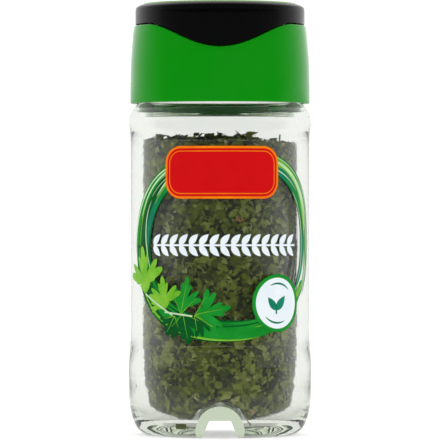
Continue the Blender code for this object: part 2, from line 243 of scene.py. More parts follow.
def bevel_edges(shape: BMesh, edges: list[bmesh.types.BMEdge], width: float, segments: int) -> None:
    """Rounds some edges of a shape.

    Args:
        shape: The shape to change.
        edges: The edges to round.
        width: How far the rounding reaches on each side.
        segments: Strips in the rounding.
    """
    bmesh.ops.bevel(
        shape,
        geom=edges,
        offset=width,
        offset_type="OFFSET",
        segments=segments,
        profile=0.5,
        affect="EDGES",
        material=-1,
        clamp_overlap=True,
    )


def scratch(shape: BMesh) -> bpy.types.Object:
    """Puts a shape in the scene as a helper object.

    Args:
        shape: The shape, freed here.

    Returns:
        The helper.
    """
    mesh = bpy.data.meshes.new("scratch")
    shape.to_mesh(mesh)
    shape.free()
    helper = bpy.data.objects.new("scratch", mesh)
    bpy.context.scene.collection.objects.link(helper)
    return helper


def combined(shape: BMesh, join: Join, tools: Iterable[BMesh]) -> BMesh:
    """Adds tools to a closed shape, or cuts them from it.

    Args:
        shape: The shape to change. It is freed.
        join: Whether the tools are added or cut.
        tools: Closed shapes, freed as well.

    Returns:
        The combined shape.
    """
    body = scratch(shape)
    helpers = [scratch(tidied(tool)) for tool in tools]
    for helper in helpers:
        modifier = body.modifiers.new(join.name, "BOOLEAN")
        modifier.operation = join.value
        modifier.solver = "EXACT"
        modifier.object = helper
    graph = bpy.context.evaluated_depsgraph_get()
    mesh = bpy.data.meshes.new_from_object(body.evaluated_get(graph), depsgraph=graph)
    result = bmesh.new()
    result.from_mesh(mesh)
    for used in (body, *helpers):
        bpy.data.meshes.remove(used.data)
    bpy.data.meshes.remove(mesh)
    return result


@dataclass(frozen=True)
class Thread:
    """A round screw thread: a helical bead that thins towards its two ends."""

    bead: float  # radius of the bead
    radius: float  # from the axis to the bead's middle
    start_z: float
    turns: float
    start_angle: float = 0.0
    pitch: float = 0.0034
    points: int = 120
    end_share: float = 0.3  # how thick the ends stay
    fade: float = 0.09  # share of its length over which each end thins

    def shape(self) -> BMesh:
        """The thread as a closed shape.

        Returns:
            The bead, capped at both ends.
        """
        curve = bpy.data.curves.new("thread", "CURVE")
        curve.dimensions = "3D"
        curve.bevel_depth = self.bead
        curve.bevel_resolution = 3
        curve.use_fill_caps = True
        spline = curve.splines.new("POLY")
        spline.points.add(self.points - 1)
        for i, point in enumerate(spline.points):
            share = i / (self.points - 1)
            angle = self.start_angle + FULL_TURN * self.turns * share
            height = self.start_z + self.pitch * self.turns * share
            point.co = (self.radius * math.cos(angle), self.radius * math.sin(angle), height, 1)
            thinning = ramp(0, self.fade, min(share, 1 - share))
            point.radius = self.end_share + (1 - self.end_share) * thinning
        tube = bpy.data.objects.new("thread", curve)
        bpy.context.scene.collection.objects.link(tube)
        graph = bpy.context.evaluated_depsgraph_get()
        mesh = bpy.data.meshes.new_from_object(tube.evaluated_get(graph), depsgraph=graph)
        shape = bmesh.new()
        shape.from_mesh(mesh)
        bpy.data.curves.remove(curve)
        bpy.data.meshes.remove(mesh)
        return tidied(shape)


def add_shape(whole: BMesh, shape: BMesh) -> None:
    """Adds a shape to a larger one.

    Args:
        whole: The shape that grows.
        shape: The shape to add, freed here.
    """
    mesh = bpy.data.meshes.new("scratch")
    shape.to_mesh(mesh)
    shape.free()
    whole.from_mesh(mesh)
    bpy.data.meshes.remove(mesh)


# ---------------------------------------------------------------- finishes


RIPPLE_HEIGHT = 0.0004  # of a moulded surface's slow ripple, at full strength
GRAIN_HEIGHT = 0.00003


class Wiring:
    """Adds nodes to a tree and joins them in short calls."""

    def __init__(self, tree: bpy.types.NodeTree) -> None:
        """Keeps the tree that later calls add to."""
        self.tree = tree

    def add(self, kind: str, inputs: dict | None = None, **settings: object) -> bpy.types.Node:
        """Adds a node.

        Args:
            kind: The node's type without its ShaderNode prefix.
            inputs: Input name or number to a value, or to the output socket that feeds it.
            **settings: Properties of the node.

        Returns:
            The node.
        """
        node = self.tree.nodes.new(f"ShaderNode{kind}")
        for name, value in settings.items():
            setattr(node, name, value)
        for name, value in (inputs or {}).items():
            if isinstance(value, bpy.types.NodeSocket):
                self.tree.links.new(value, node.inputs[name])
            else:
                node.inputs[name].default_value = value
        return node


def new_group(name: str, inputs: dict[str, float], outputs: dict[str, str]) -> tuple[Wiring, dict, dict]:
    """Starts a shader node group.

    Args:
        name: The group's name.
        inputs: Name of each number that goes in, with its usual value.
        outputs: Name of each output, with its socket type.

    Returns:
        The group's wiring, its input sockets by name and its output sockets by name.
    """
    group = bpy.data.node_groups.new(name, "ShaderNodeTree")
    for label, usual in inputs.items():
        group.interface.new_socket(label, in_out="INPUT", socket_type="NodeSocketFloat").default_value = usual
    for label, kind in outputs.items():
        group.interface.new_socket(label, in_out="OUTPUT", socket_type=kind)
    entry = group.nodes.new("NodeGroupInput")
    leave = group.nodes.new("NodeGroupOutput")
    return Wiring(group), {s.name: s for s in entry.outputs}, {s.name: s for s in leave.inputs}


def moulding_group() -> bpy.types.NodeTree:
    """The fine unevenness of a moulded surface: a slow ripple, a fine grain and a patchy roughness.

    Returns:
        The shader node group, made at the first call.
    """
    made = bpy.data.node_groups.get("moulded_surface")
    if made:
        return made
    numbers = {
        "Ripple Scale": 90,
        "Ripple": 0.3,
        "Grain Scale": 2500,
        "Grain": 0.1,
        "Roughness": 0.3,
        "Spread": 0.1,
    }
    wiring, given, result = new_group(
        "moulded_surface", numbers, {"Roughness": "NodeSocketFloat", "Normal": "NodeSocketVector"}
    )
    place = wiring.add("TexCoord").outputs["Object"]
    slow = wiring.add("TexNoise", {"Vector": place, "Scale": given["Ripple Scale"], "Detail": 1.0})
    fine = wiring.add("TexNoise", {"Vector": place, "Scale": given["Grain Scale"], "Detail": 2.0})
    ripple = wiring.add(
        "Bump", {"Height": slow.outputs["Fac"], "Strength": given["Ripple"], "Distance": RIPPLE_HEIGHT}
    )
    grain = wiring.add(
        "Bump",
        {
            "Height": fine.outputs["Fac"],
            "Strength": given["Grain"],
            "Distance": GRAIN_HEIGHT,
            "Normal": ripple.outputs[0],
        },
    )
    patch = wiring.add(
        "MapRange",
        {"Value": slow.outputs["Fac"], "From Min": 0.3, "From Max": 0.7, "To Min": -0.5, "To Max": 0.5},
    )
    swing = wiring.add("Math", {0: patch.outputs[0], 1: given["Spread"]}, operation="MULTIPLY")
    rough = wiring.add("Math", {0: swing.outputs[0], 1: given["Roughness"]}, operation="ADD")
    wiring.tree.links.new(rough.outputs[0], result["Roughness"])
    wiring.tree.links.new(grain.outputs["Normal"], result["Normal"])
    return wiring.tree


def mottle_group() -> bpy.types.NodeTree:
    """A mask from 0 to 1 that changes in soft patches, which can be stretched along Z.

    Returns:
        The shader node group, made at the first call.
    """
    made = bpy.data.node_groups.get("soft_mottle")
    if made:
        return made
    wiring, given, result = new_group(
        "soft_mottle", {"Scale": 300, "Stretch": 1.0, "Contrast": 0.2}, {"Mask": "NodeSocketFloat"}
    )
    place = wiring.add("TexCoord").outputs["Object"]
    across = wiring.add("CombineXYZ", {0: 1.0, 1: 1.0, 2: given["Stretch"]})
    scaled = wiring.add("VectorMath", {0: place, 1: across.outputs[0]}, operation="MULTIPLY")
    patches = wiring.add("TexNoise", {"Vector": scaled.outputs[0], "Scale": given["Scale"], "Detail": 3.0})
    low = wiring.add("Math", {0: 0.5, 1: given["Contrast"]}, operation="SUBTRACT")
    high = wiring.add("Math", {0: 0.5, 1: given["Contrast"]}, operation="ADD")
    spread = wiring.add(
        "MapRange", {"Value": patches.outputs["Fac"], "From Min": low.outputs[0], "From Max": high.outputs[0]}
    )
    wiring.tree.links.new(spread.outputs[0], result["Mask"])
    return wiring.tree


class Finish:
    """Makes one named material, once."""

    name: str

    def material(self) -> bpy.types.Material:
        """The finish's material, made at the first call."""
        made = bpy.data.materials.get(self.name)
        if made is None:
            made = bpy.data.materials.new(self.name)
            made.use_nodes = True
            made.node_tree.nodes.clear()
            wiring = Wiring(made.node_tree)
            output = wiring.add("OutputMaterial")
            self.dress(wiring, output)
        return made

    def dress(self, wiring: Wiring, output: bpy.types.Node) -> None:
        """Builds the finish's nodes up to the output.

        Args:
            wiring: Adds nodes to the material's tree.
            output: The material's output node.
        """
        raise NotImplementedError


def two_tone(
    wiring: Wiring, first: Colour, second: Colour, mask: bpy.types.NodeSocket
) -> bpy.types.NodeSocket:
    """A colour that goes from first to second with the mask."""
    mix = wiring.add("Mix", {0: mask, 6: (*first, 1), 7: (*second, 1)}, data_type="RGBA")
    return mix.outputs[2]


@dataclass(frozen=True)
class MouldedPlastic(Finish):
    """Injection-moulded plastic: a soft gloss with a faint flow mottle in its colour."""

    name: str
    colour: Colour
    flow: Colour
    roughness: float
    gloss: float = 0.5
    ripple_scale: float = 70.0
    ripple: float = 0.035
    flow_scale: float = 60.0
    flow_stretch: float = 0.4
    flow_contrast: float = 0.45

    def dress(self, wiring: Wiring, output: bpy.types.Node) -> None:
        """Builds the finish's nodes up to the output.

        Args:
            wiring: Adds nodes to the material's tree.
            output: The material's output node.
        """
        surface = wiring.add("Group", node_tree=moulding_group())
        surface.inputs["Ripple Scale"].default_value = self.ripple_scale
        surface.inputs["Ripple"].default_value = self.ripple
        surface.inputs["Roughness"].default_value = self.roughness
        mottle = wiring.add("Group", node_tree=mottle_group())
        mottle.inputs["Scale"].default_value = self.flow_scale
        mottle.inputs["Stretch"].default_value = self.flow_stretch
        mottle.inputs["Contrast"].default_value = self.flow_contrast
        shader = wiring.add(
            "BsdfPrincipled",
            {
                "Base Color": two_tone(wiring, self.colour, self.flow, mottle.outputs["Mask"]),
                "Roughness": surface.outputs["Roughness"],
                "Normal": surface.outputs["Normal"],
                "Specular IOR Level": self.gloss,
            },
        )
        wiring.tree.links.new(shader.outputs[0], output.inputs["Surface"])


@dataclass(frozen=True)
class ClearGlass(Finish):
    """Polished container glass with a faint mould ripple and a tint that shows where it is thick."""

    name: str = "bottle_glass"
    face: Colour = (0.985, 0.995, 0.985)
    shadow: Colour = (0.92, 0.94, 0.91)
    tint: Colour = (0.885, 0.912, 0.855)
    density: float = 95.0  # per metre
    bending: float = 1.5  # index of refraction
    ripple_scale: float = 60.0
    ripple: float = 0.05

    def dress(self, wiring: Wiring, output: bpy.types.Node) -> None:
        """Builds the finish's nodes up to the output.

        Args:
            wiring: Adds nodes to the material's tree.
            output: The material's output node.
        """
        surface = wiring.add("Group", node_tree=moulding_group())
        surface.inputs["Ripple Scale"].default_value = self.ripple_scale
        surface.inputs["Ripple"].default_value = self.ripple
        surface.inputs["Grain"].default_value = 0.0
        glass = wiring.add(
            "BsdfPrincipled",
            {
                "Base Color": (*self.face, 1),
                "Roughness": 0.0,
                "IOR": self.bending,
                "Transmission Weight": 1.0,
                "Normal": surface.outputs["Normal"],
            },
        )
        clear = wiring.add("BsdfTransparent", {"Color": (*self.shadow, 1)})
        path = wiring.add("LightPath")
        mix = wiring.add(
            "MixShader", {0: path.outputs["Is Shadow Ray"], 1: glass.outputs[0], 2: clear.outputs[0]}
        )
        depth = wiring.add("VolumeAbsorption", {"Color": (*self.tint, 1), "Density": self.density})
        wiring.tree.links.new(mix.outputs[0], output.inputs["Surface"])
        wiring.tree.links.new(depth.outputs[0], output.inputs["Volume"])


@dataclass(frozen=True)
class DriedLeaf(Finish):
    """Crumbled dried leaf, whose colour follows each flake's tone."""

    name: str = "crumbled_leaf"
    gloss: float = 0.02
    mottle_scale: float = 900.0
    crinkle_scale: float = 1800.0
    crinkle: float = 0.0002  # height of the crinkles
    tones: tuple[tuple[float, Colour], ...] = (  # from dark olive through green to straw and tan
        (0.0, (0.011, 0.016, 0.002)),
        (0.30, (0.046, 0.066, 0.005)),
        (0.60, (0.118, 0.151, 0.011)),
        (0.80, (0.206, 0.238, 0.033)),
        (0.94, (0.290, 0.310, 0.100)),
        (0.97, (0.350, 0.320, 0.150)),
        (1.0, (0.300, 0.160, 0.060)),
    )

    def dress(self, wiring: Wiring, output: bpy.types.Node) -> None:
        """Builds the finish's nodes up to the output.

        Args:
            wiring: Adds nodes to the material's tree.
            output: The material's output node.
        """
        tone = wiring.add("Attribute", attribute_name="tone").outputs["Fac"]
        mottle = wiring.add("Group", node_tree=mottle_group())
        mottle.inputs["Scale"].default_value = self.mottle_scale
        mottle.inputs["Contrast"].default_value = 0.22
        colours = wiring.add("ValToRGB", {"Fac": tone})
        stops = colours.color_ramp.elements
        first, *between, last = self.tones
        for stop, (at, colour) in zip(stops, (first, last)):
            stop.position = at
            stop.color = (*colour, 1)
        for at, colour in between:
            stops.new(at).color = (*colour, 1)
        shade = wiring.add("MapRange", {"Value": mottle.outputs["Mask"], "To Min": 0.72, "To Max": 1.22})
        tinted = wiring.add(
            "Mix",
            {0: 1.0, 6: colours.outputs[0], 7: shade.outputs[0]},
            data_type="RGBA",
            blend_type="MULTIPLY",
        )
        place = wiring.add("TexCoord").outputs["Object"]
        veins = wiring.add("TexNoise", {"Vector": place, "Scale": self.crinkle_scale, "Detail": 3.0})
        crinkle = wiring.add(
            "Bump", {"Height": veins.outputs["Fac"], "Strength": 0.5, "Distance": self.crinkle}
        )
        rough = wiring.add("MapRange", {"Value": veins.outputs["Fac"], "To Min": 0.62, "To Max": 0.92})
        shader = wiring.add(
            "BsdfPrincipled",
            {
                "Base Color": tinted.outputs[2],
                "Roughness": rough.outputs[0],
                "Normal": crinkle.outputs[0],
                "Specular IOR Level": self.gloss,
            },
        )
        wiring.tree.links.new(shader.outputs[0], output.inputs["Surface"])


@dataclass(frozen=True)
class PrintedInk(Finish):
    """Ink on film: two close tones in streaks, under a satin varnish."""

    name: str
    first: Colour
    second: Colour
    scale: float = 260.0
    stretch: float = 1.0
    roughness: float = 0.38
    spread: float = 0.05  # how far the roughness strays either way
    gloss: float = 0.07

    def dress(self, wiring: Wiring, output: bpy.types.Node) -> None:
        """Builds the finish's nodes up to the output.

        Args:
            wiring: Adds nodes to the material's tree.
            output: The material's output node.
        """
        mottle = wiring.add("Group", node_tree=mottle_group())
        mottle.inputs["Scale"].default_value = self.scale
        mottle.inputs["Stretch"].default_value = self.stretch
        rough = wiring.add(
            "MapRange",
            {
                "Value": mottle.outputs["Mask"],
                "To Min": self.roughness - self.spread,
                "To Max": self.roughness + self.spread,
            },
        )
        shader = wiring.add(
            "BsdfPrincipled",
            {
                "Base Color": two_tone(wiring, self.first, self.second, mottle.outputs["Mask"]),
                "Roughness": rough.outputs[0],
                "Specular IOR Level": self.gloss,
            },
        )
        wiring.tree.links.new(shader.outputs[0], output.inputs["Surface"])


@dataclass(frozen=True)
class ClearFilm(Finish):
    """Clear label film: nearly invisible, with a faint haze."""

    name: str = "label_film"
    haze: float = 0.006
    colour: Colour = (0.80, 0.84, 0.78)
    patch_scale: float = 120.0

    def dress(self, wiring: Wiring, output: bpy.types.Node) -> None:
        """Builds the finish's nodes up to the output.

        Args:
            wiring: Adds nodes to the material's tree.
            output: The material's output node.
        """
        mottle = wiring.add("Group", node_tree=mottle_group())
        mottle.inputs["Scale"].default_value = self.patch_scale
        haze = wiring.add(
            "MapRange",
            {"Value": mottle.outputs["Mask"], "To Min": self.haze * 0.7, "To Max": self.haze * 1.3},
        )
        shader = wiring.add(
            "BsdfPrincipled",
            {
                "Base Color": (*self.colour, 1),
                "Roughness": 0.25,
                "Alpha": haze.outputs[0],
            },
        )
        wiring.tree.links.new(shader.outputs[0], output.inputs["Surface"])


@dataclass(frozen=True)
class LinerFoam(Finish):
    """White closed-cell foam."""

    name: str = "closed_cell_foam"
    # the pits' grey is painted shade in the cells of the white foam
    pit_shade_colour: Colour = (0.62, 0.62, 0.60)
    skin_colour: Colour = (0.84, 0.84, 0.82)
    cell_scale: float = 2600.0

    def dress(self, wiring: Wiring, output: bpy.types.Node) -> None:
        """Builds the finish's nodes up to the output.

        Args:
            wiring: Adds nodes to the material's tree.
            output: The material's output node.
        """
        place = wiring.add("TexCoord").outputs["Object"]
        cells = wiring.add("TexVoronoi", {"Vector": place, "Scale": self.cell_scale})
        # The cells' middles, sunk by the bump below, are painted darker as shade in the pits.
        shade = two_tone(wiring, self.pit_shade_colour, self.skin_colour, cells.outputs["Distance"])
        pits = wiring.add("Bump", {"Height": cells.outputs["Distance"], "Strength": 0.4, "Distance": 0.0001})
        shader = wiring.add(
            "BsdfPrincipled", {"Base Color": shade, "Roughness": 0.85, "Normal": pits.outputs[0]}
        )
        wiring.tree.links.new(shader.outputs[0], output.inputs["Surface"])


@dataclass(frozen=True)
class StudioFloor(Finish):
    """White floor with a little glow.

    Shiny things mirror it as dark in front of the jar and pale behind it. A ray that has been inside glass
    meets less of the dark, and what is only seen through glass is pale all over.
    """

    name: str = "studio_floor"
    white: float = 0.8
    glow: float = 0.45
    mirrored: float = 0.77  # share of its light that is mirrored from behind the jar, or seen through glass
    mirrored_inside: float = 0.62  # share that is mirrored inside the glass, close in front of the jar
    mirrored_dark: float = 0.03  # share that is mirrored from further in front
    inside_span: tuple[float, float] = (-0.18, -0.06)  # where, along Y, the dark ends for rays inside glass
    span: tuple[float, float] = (-0.16, -0.02)  # where the dark ends for all others

    def dress(self, wiring: Wiring, output: bpy.types.Node) -> None:
        """Builds the finish's nodes up to the output.

        Args:
            wiring: Adds nodes to the material's tree.
            output: The material's output node.
        """
        place = wiring.add("SeparateXYZ", {0: wiring.add("TexCoord").outputs["Object"]})
        path = wiring.add("LightPath")
        inside = wiring.add("Clamp", {0: path.outputs["Transmission Depth"]})
        near = wiring.add(
            "MapRange",
            {
                "Value": place.outputs[1],
                "From Min": self.inside_span[0],
                "From Max": self.inside_span[1],
                "To Min": self.mirrored_dark,
                "To Max": self.mirrored_inside,
            },
        )
        nearest = wiring.add("Mix", {0: inside.outputs[0], 2: self.mirrored_dark, 3: near.outputs[0]})
        behind = wiring.add(
            "MapRange",
            {
                "Value": place.outputs[1],
                "From Min": self.span[0],
                "From Max": self.span[1],
                "To Min": nearest.outputs[0],
                "To Max": self.mirrored,
            },
        )
        plain = wiring.add(
            "Math",
            {0: path.outputs["Is Camera Ray"], 1: path.outputs["Diffuse Depth"]},
            operation="MAXIMUM",
        )
        bounced = wiring.add("Clamp", {0: path.outputs["Glossy Depth"]})
        seen = wiring.add("Mix", {0: bounced.outputs[0], 2: self.mirrored, 3: behind.outputs[0]})
        either = wiring.add("Math", {0: plain.outputs[0], 1: seen.outputs[0]}, operation="MAXIMUM")
        share = wiring.add("Clamp", {0: either.outputs[0]})
        shade = wiring.add("Math", {0: share.outputs[0], 1: self.white}, operation="MULTIPLY")
        glow = wiring.add("Math", {0: share.outputs[0], 1: self.glow}, operation="MULTIPLY")
        shader = wiring.add(
            "BsdfPrincipled",
            {
                "Base Color": shade.outputs[0],
                "Roughness": 0.9,
                "Specular IOR Level": 0.0,
                "Emission Color": (1, 1, 1, 1),
                "Emission Strength": glow.outputs[0],
            },
        )
        wiring.tree.links.new(shader.outputs[0], output.inputs["Surface"])


GLASS = ClearGlass()
FILM = ClearFilm()
FILM_EDGE = ClearFilm("film_edge", haze=0.06)
PALE_FILM = PrintedInk("pale_film", (0.80, 0.83, 0.78), (0.785, 0.815, 0.765), scale=400)
FOAM = LinerFoam()
LEAF = DriedLeaf()
GREEN = MouldedPlastic(
    "moulded_green", (0.0010, 0.258, 0.0010), (0.0006, 0.240, 0.0020), roughness=0.24, gloss=0.14
)
BLACK = MouldedPlastic(
    "moulded_black", (0.0034, 0.0036, 0.0044), (0.0028, 0.0028, 0.0030), roughness=0.32, gloss=0.13
)
DISC = MouldedPlastic("moulded_pale_green", (0.33, 0.56, 0.21), (0.29, 0.52, 0.18), roughness=0.42)


def finished(
    name: str,
    shape: BMesh,
    finish: Finish,
    body: Body,
    stands_for: Sequence[str] = (),
    crease: float = 35.0,
) -> bpy.types.Object:
    """Turns a shape into a dressed piece that rides on a body.

    Args:
        name: The piece's name.
        shape: Its shape, freed here.
        finish: Its finish.
        body: The body that it rides on.
        stands_for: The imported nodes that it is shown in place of.
        crease: Edges sharper than this, in degrees, are shaded as sharp.

    Returns:
        The piece's object.
    """
    mesh = bpy.data.meshes.new(name)
    shape.to_mesh(mesh)
    shape.free()
    mesh.shade_smooth()
    mesh.set_sharp_from_angle(angle=math.radians(crease))
    mesh.materials.append(finish.material())
    piece = bpy.data.objects.new(name, mesh)
    bpy.context.scene.collection.objects.link(piece)
    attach(piece, body.value)
    if stands_for:
        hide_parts(*stands_for)
    log.info("%s: %d faces on %s", name, len(mesh.polygons), body.value)
    return piece


# ---------------------------------------------------------------- the jar


@dataclass(frozen=True)
class FloorHump:
    """The half-round hump that the jar's floor makes over the channel through its base."""

    radius: float = 0.0057
    centre_z: float = 0.0027
    half_length: float = 0.0200
    end_growth: float = 20.0  # how many times more its ends move out than its round side
    air: float = 0.0010  # kept clear of leaf above it

    def shape(self, grow: float = 0.0, flat_z: float = 0.0015) -> BMesh:
        """The hump as a solid along Y.

        Args:
            grow: How far its round side is moved outwards.
            flat_z: Height of its flat underside.

        Returns:
            The closed shape.
        """
        reach = Vector((0, self.half_length + grow * self.end_growth, 0))
        middle = Vector((0, 0, self.centre_z))
        shape = rod(self.radius + grow, middle - reach, middle + reach, segments=96)
        everything = shape.verts[:] + shape.edges[:] + shape.faces[:]
        cut = bmesh.ops.bisect_plane(
            shape, geom=everything, plane_co=(0, 0, flat_z), plane_no=(0, 0, -1), clear_outer=True
        )
        rim = [item for item in cut["geom_cut"] if isinstance(item, bmesh.types.BMEdge)]
        bmesh.ops.holes_fill(shape, edges=rim)
        return shape


HUMP = FloorHump()


@dataclass(frozen=True)
class GlassJar:
    """The thick-walled glass jar: floor, walls with a label recess, shoulder and threaded neck."""

    steps: int = 384
    wall: float = 0.0035
    recess: float = 0.0005  # depth that the labels lie in
    neck_radius: float = 0.0182
    mouth_radius: float = 0.0156
    thread: Thread = Thread(bead=0.0010, radius=0.0183, start_z=0.0906, turns=1.25)
    knurls: int = 64
    knurl_low: float = 0.0038
    knurl_high: float = 0.0048
    knurl_depth: float = 0.000035
    knurl_inner: float = 0.0215  # the heel's surface lies outside this radius
    seam_height: float = 0.00004
    seam_facets: float = 0.4  # half width of the mould's seam
    seam_inner: float = 0.0220
    seam_foot: float = 0.010
    channel_low: float = 0.0093  # width at its mouth
    channel_top: float = 0.0056  # width at its roof
    channel_height: float = 0.0046
    channel_soft: float = 0.0004
    channel_reach: float = 0.030

    def outline(self) -> list[Corner]:
        """The glass's section.

        Returns:
            Its corners, from the floor's middle up the inside and down the outside.
        """
        base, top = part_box("glass_jar")
        radius, mouth_z = top[0], top[2]
        inside, neck, mouth, panel = (
            radius - self.wall,
            self.neck_radius,
            self.mouth_radius,
            radius - self.recess,
        )
        heel = [
            Corner(0.02325 - 0.00065 * share, 0.0052 - 0.0020 * share)
            for share in (0, 0.25, 0.5, 0.75, 1)
        ]
        return [
            Corner(0, base[2] + 0.0030),
            Corner(0.0148, 0.0032, 0.0024),
            Corner(0.0186, 0.0056, 0.0026),
            Corner(0.0199, 0.0110, 0.0040),
            Corner(inside, 0.0200, 0.0050),
            Corner(inside, 0.0834, 0.0008),
            Corner(0.0174, 0.0864, 0.0010),
            Corner(0.0162, 0.0884, 0.0010),
            Corner(mouth, 0.0900, 0.0008),
            Corner(mouth, mouth_z, 0.0006),
            Corner(neck, mouth_z, 0.0004),
            Corner(neck, 0.0886, 0.0006),
            Corner(0.0222, 0.0868, 0.0016),
            Corner(0.0236, 0.0842, 0.0014),
            Corner(radius, 0.0824, 0.0012),
            Corner(panel, 0.0784, 0.0020),
            Corner(panel, 0.0246, 0.0024),
            Corner(radius, 0.0200, 0.0022),
            Corner(radius, 0.0085, 0.0028),
            *heel,
            Corner(0.0214, 0.0010, 0.0012),
            Corner(0.0193, 0.0, 0.0006),
            Corner(0.0155, 0.0, 0.0004),
            Corner(0.0140, 0.0004, 0.0006),
            Corner(0, 0.0007),
        ]

    def add_mould_marks(self, shape: BMesh) -> None:
        """Raises the knurls round the heel, and the mould's fine seam at the front and the back.

        Args:
            shape: The turned jar, changed here.
        """
        middle = (self.knurl_low + self.knurl_high) / 2
        half = (self.knurl_high - self.knurl_low) / 2
        for vertex in shape.verts:
            radius = vertex.co.xy.length
            angle = front_angle(vertex.co)
            if radius > self.knurl_inner and abs(vertex.co.z - middle) < half:
                height = 1 - ((vertex.co.z - middle) / half) ** 2
                wave = max(0.0, math.cos(self.knurls * angle))
                vertex.co.xy *= 1 + self.knurl_depth * height * wave / radius
            on_seam = abs(math.sin(angle)) < self.seam_facets * FULL_TURN / self.steps
            if on_seam and radius > self.seam_inner and vertex.co.z > self.seam_foot:
                vertex.co.xy *= 1 + self.seam_height / radius

    def channel(self) -> BMesh:
        """The tapered channel that crosses the base from front to back, with a softened roof.

        Returns:
            The closed shape to cut from the base.
        """
        shape = block((-1, -self.channel_reach, -0.002), (1, self.channel_reach, self.channel_height))
        slope = (self.channel_low - self.channel_top) / 2 / self.channel_height
        for vertex in shape.verts:
            half_width = self.channel_low / 2 - slope * vertex.co.z
            vertex.co.x = math.copysign(half_width, vertex.co.x)
        roof = [
            edge
            for edge in shape.edges
            if all(vertex.co.z > 0 for vertex in edge.verts)
            and abs(edge.verts[0].co.x - edge.verts[1].co.x) < WELD
        ]
        bevel_edges(shape, roof, self.channel_soft, segments=3)
        return shape

    def build(self) -> None:
        """Builds the jar."""
        shape = turned(self.outline(), self.steps)
        self.add_mould_marks(shape)
        shape = combined(shape, Join.ADD, [HUMP.shape(), self.thread.shape()])
        shape = combined(shape, Join.CUT, [self.channel()])
        finished("jar_glass", shape, GLASS, Body.JAR, ["glass_jar"], crease=30)


# ---------------------------------------------------------------- the dried leaf


FLAKE_THICKNESS = 0.00022


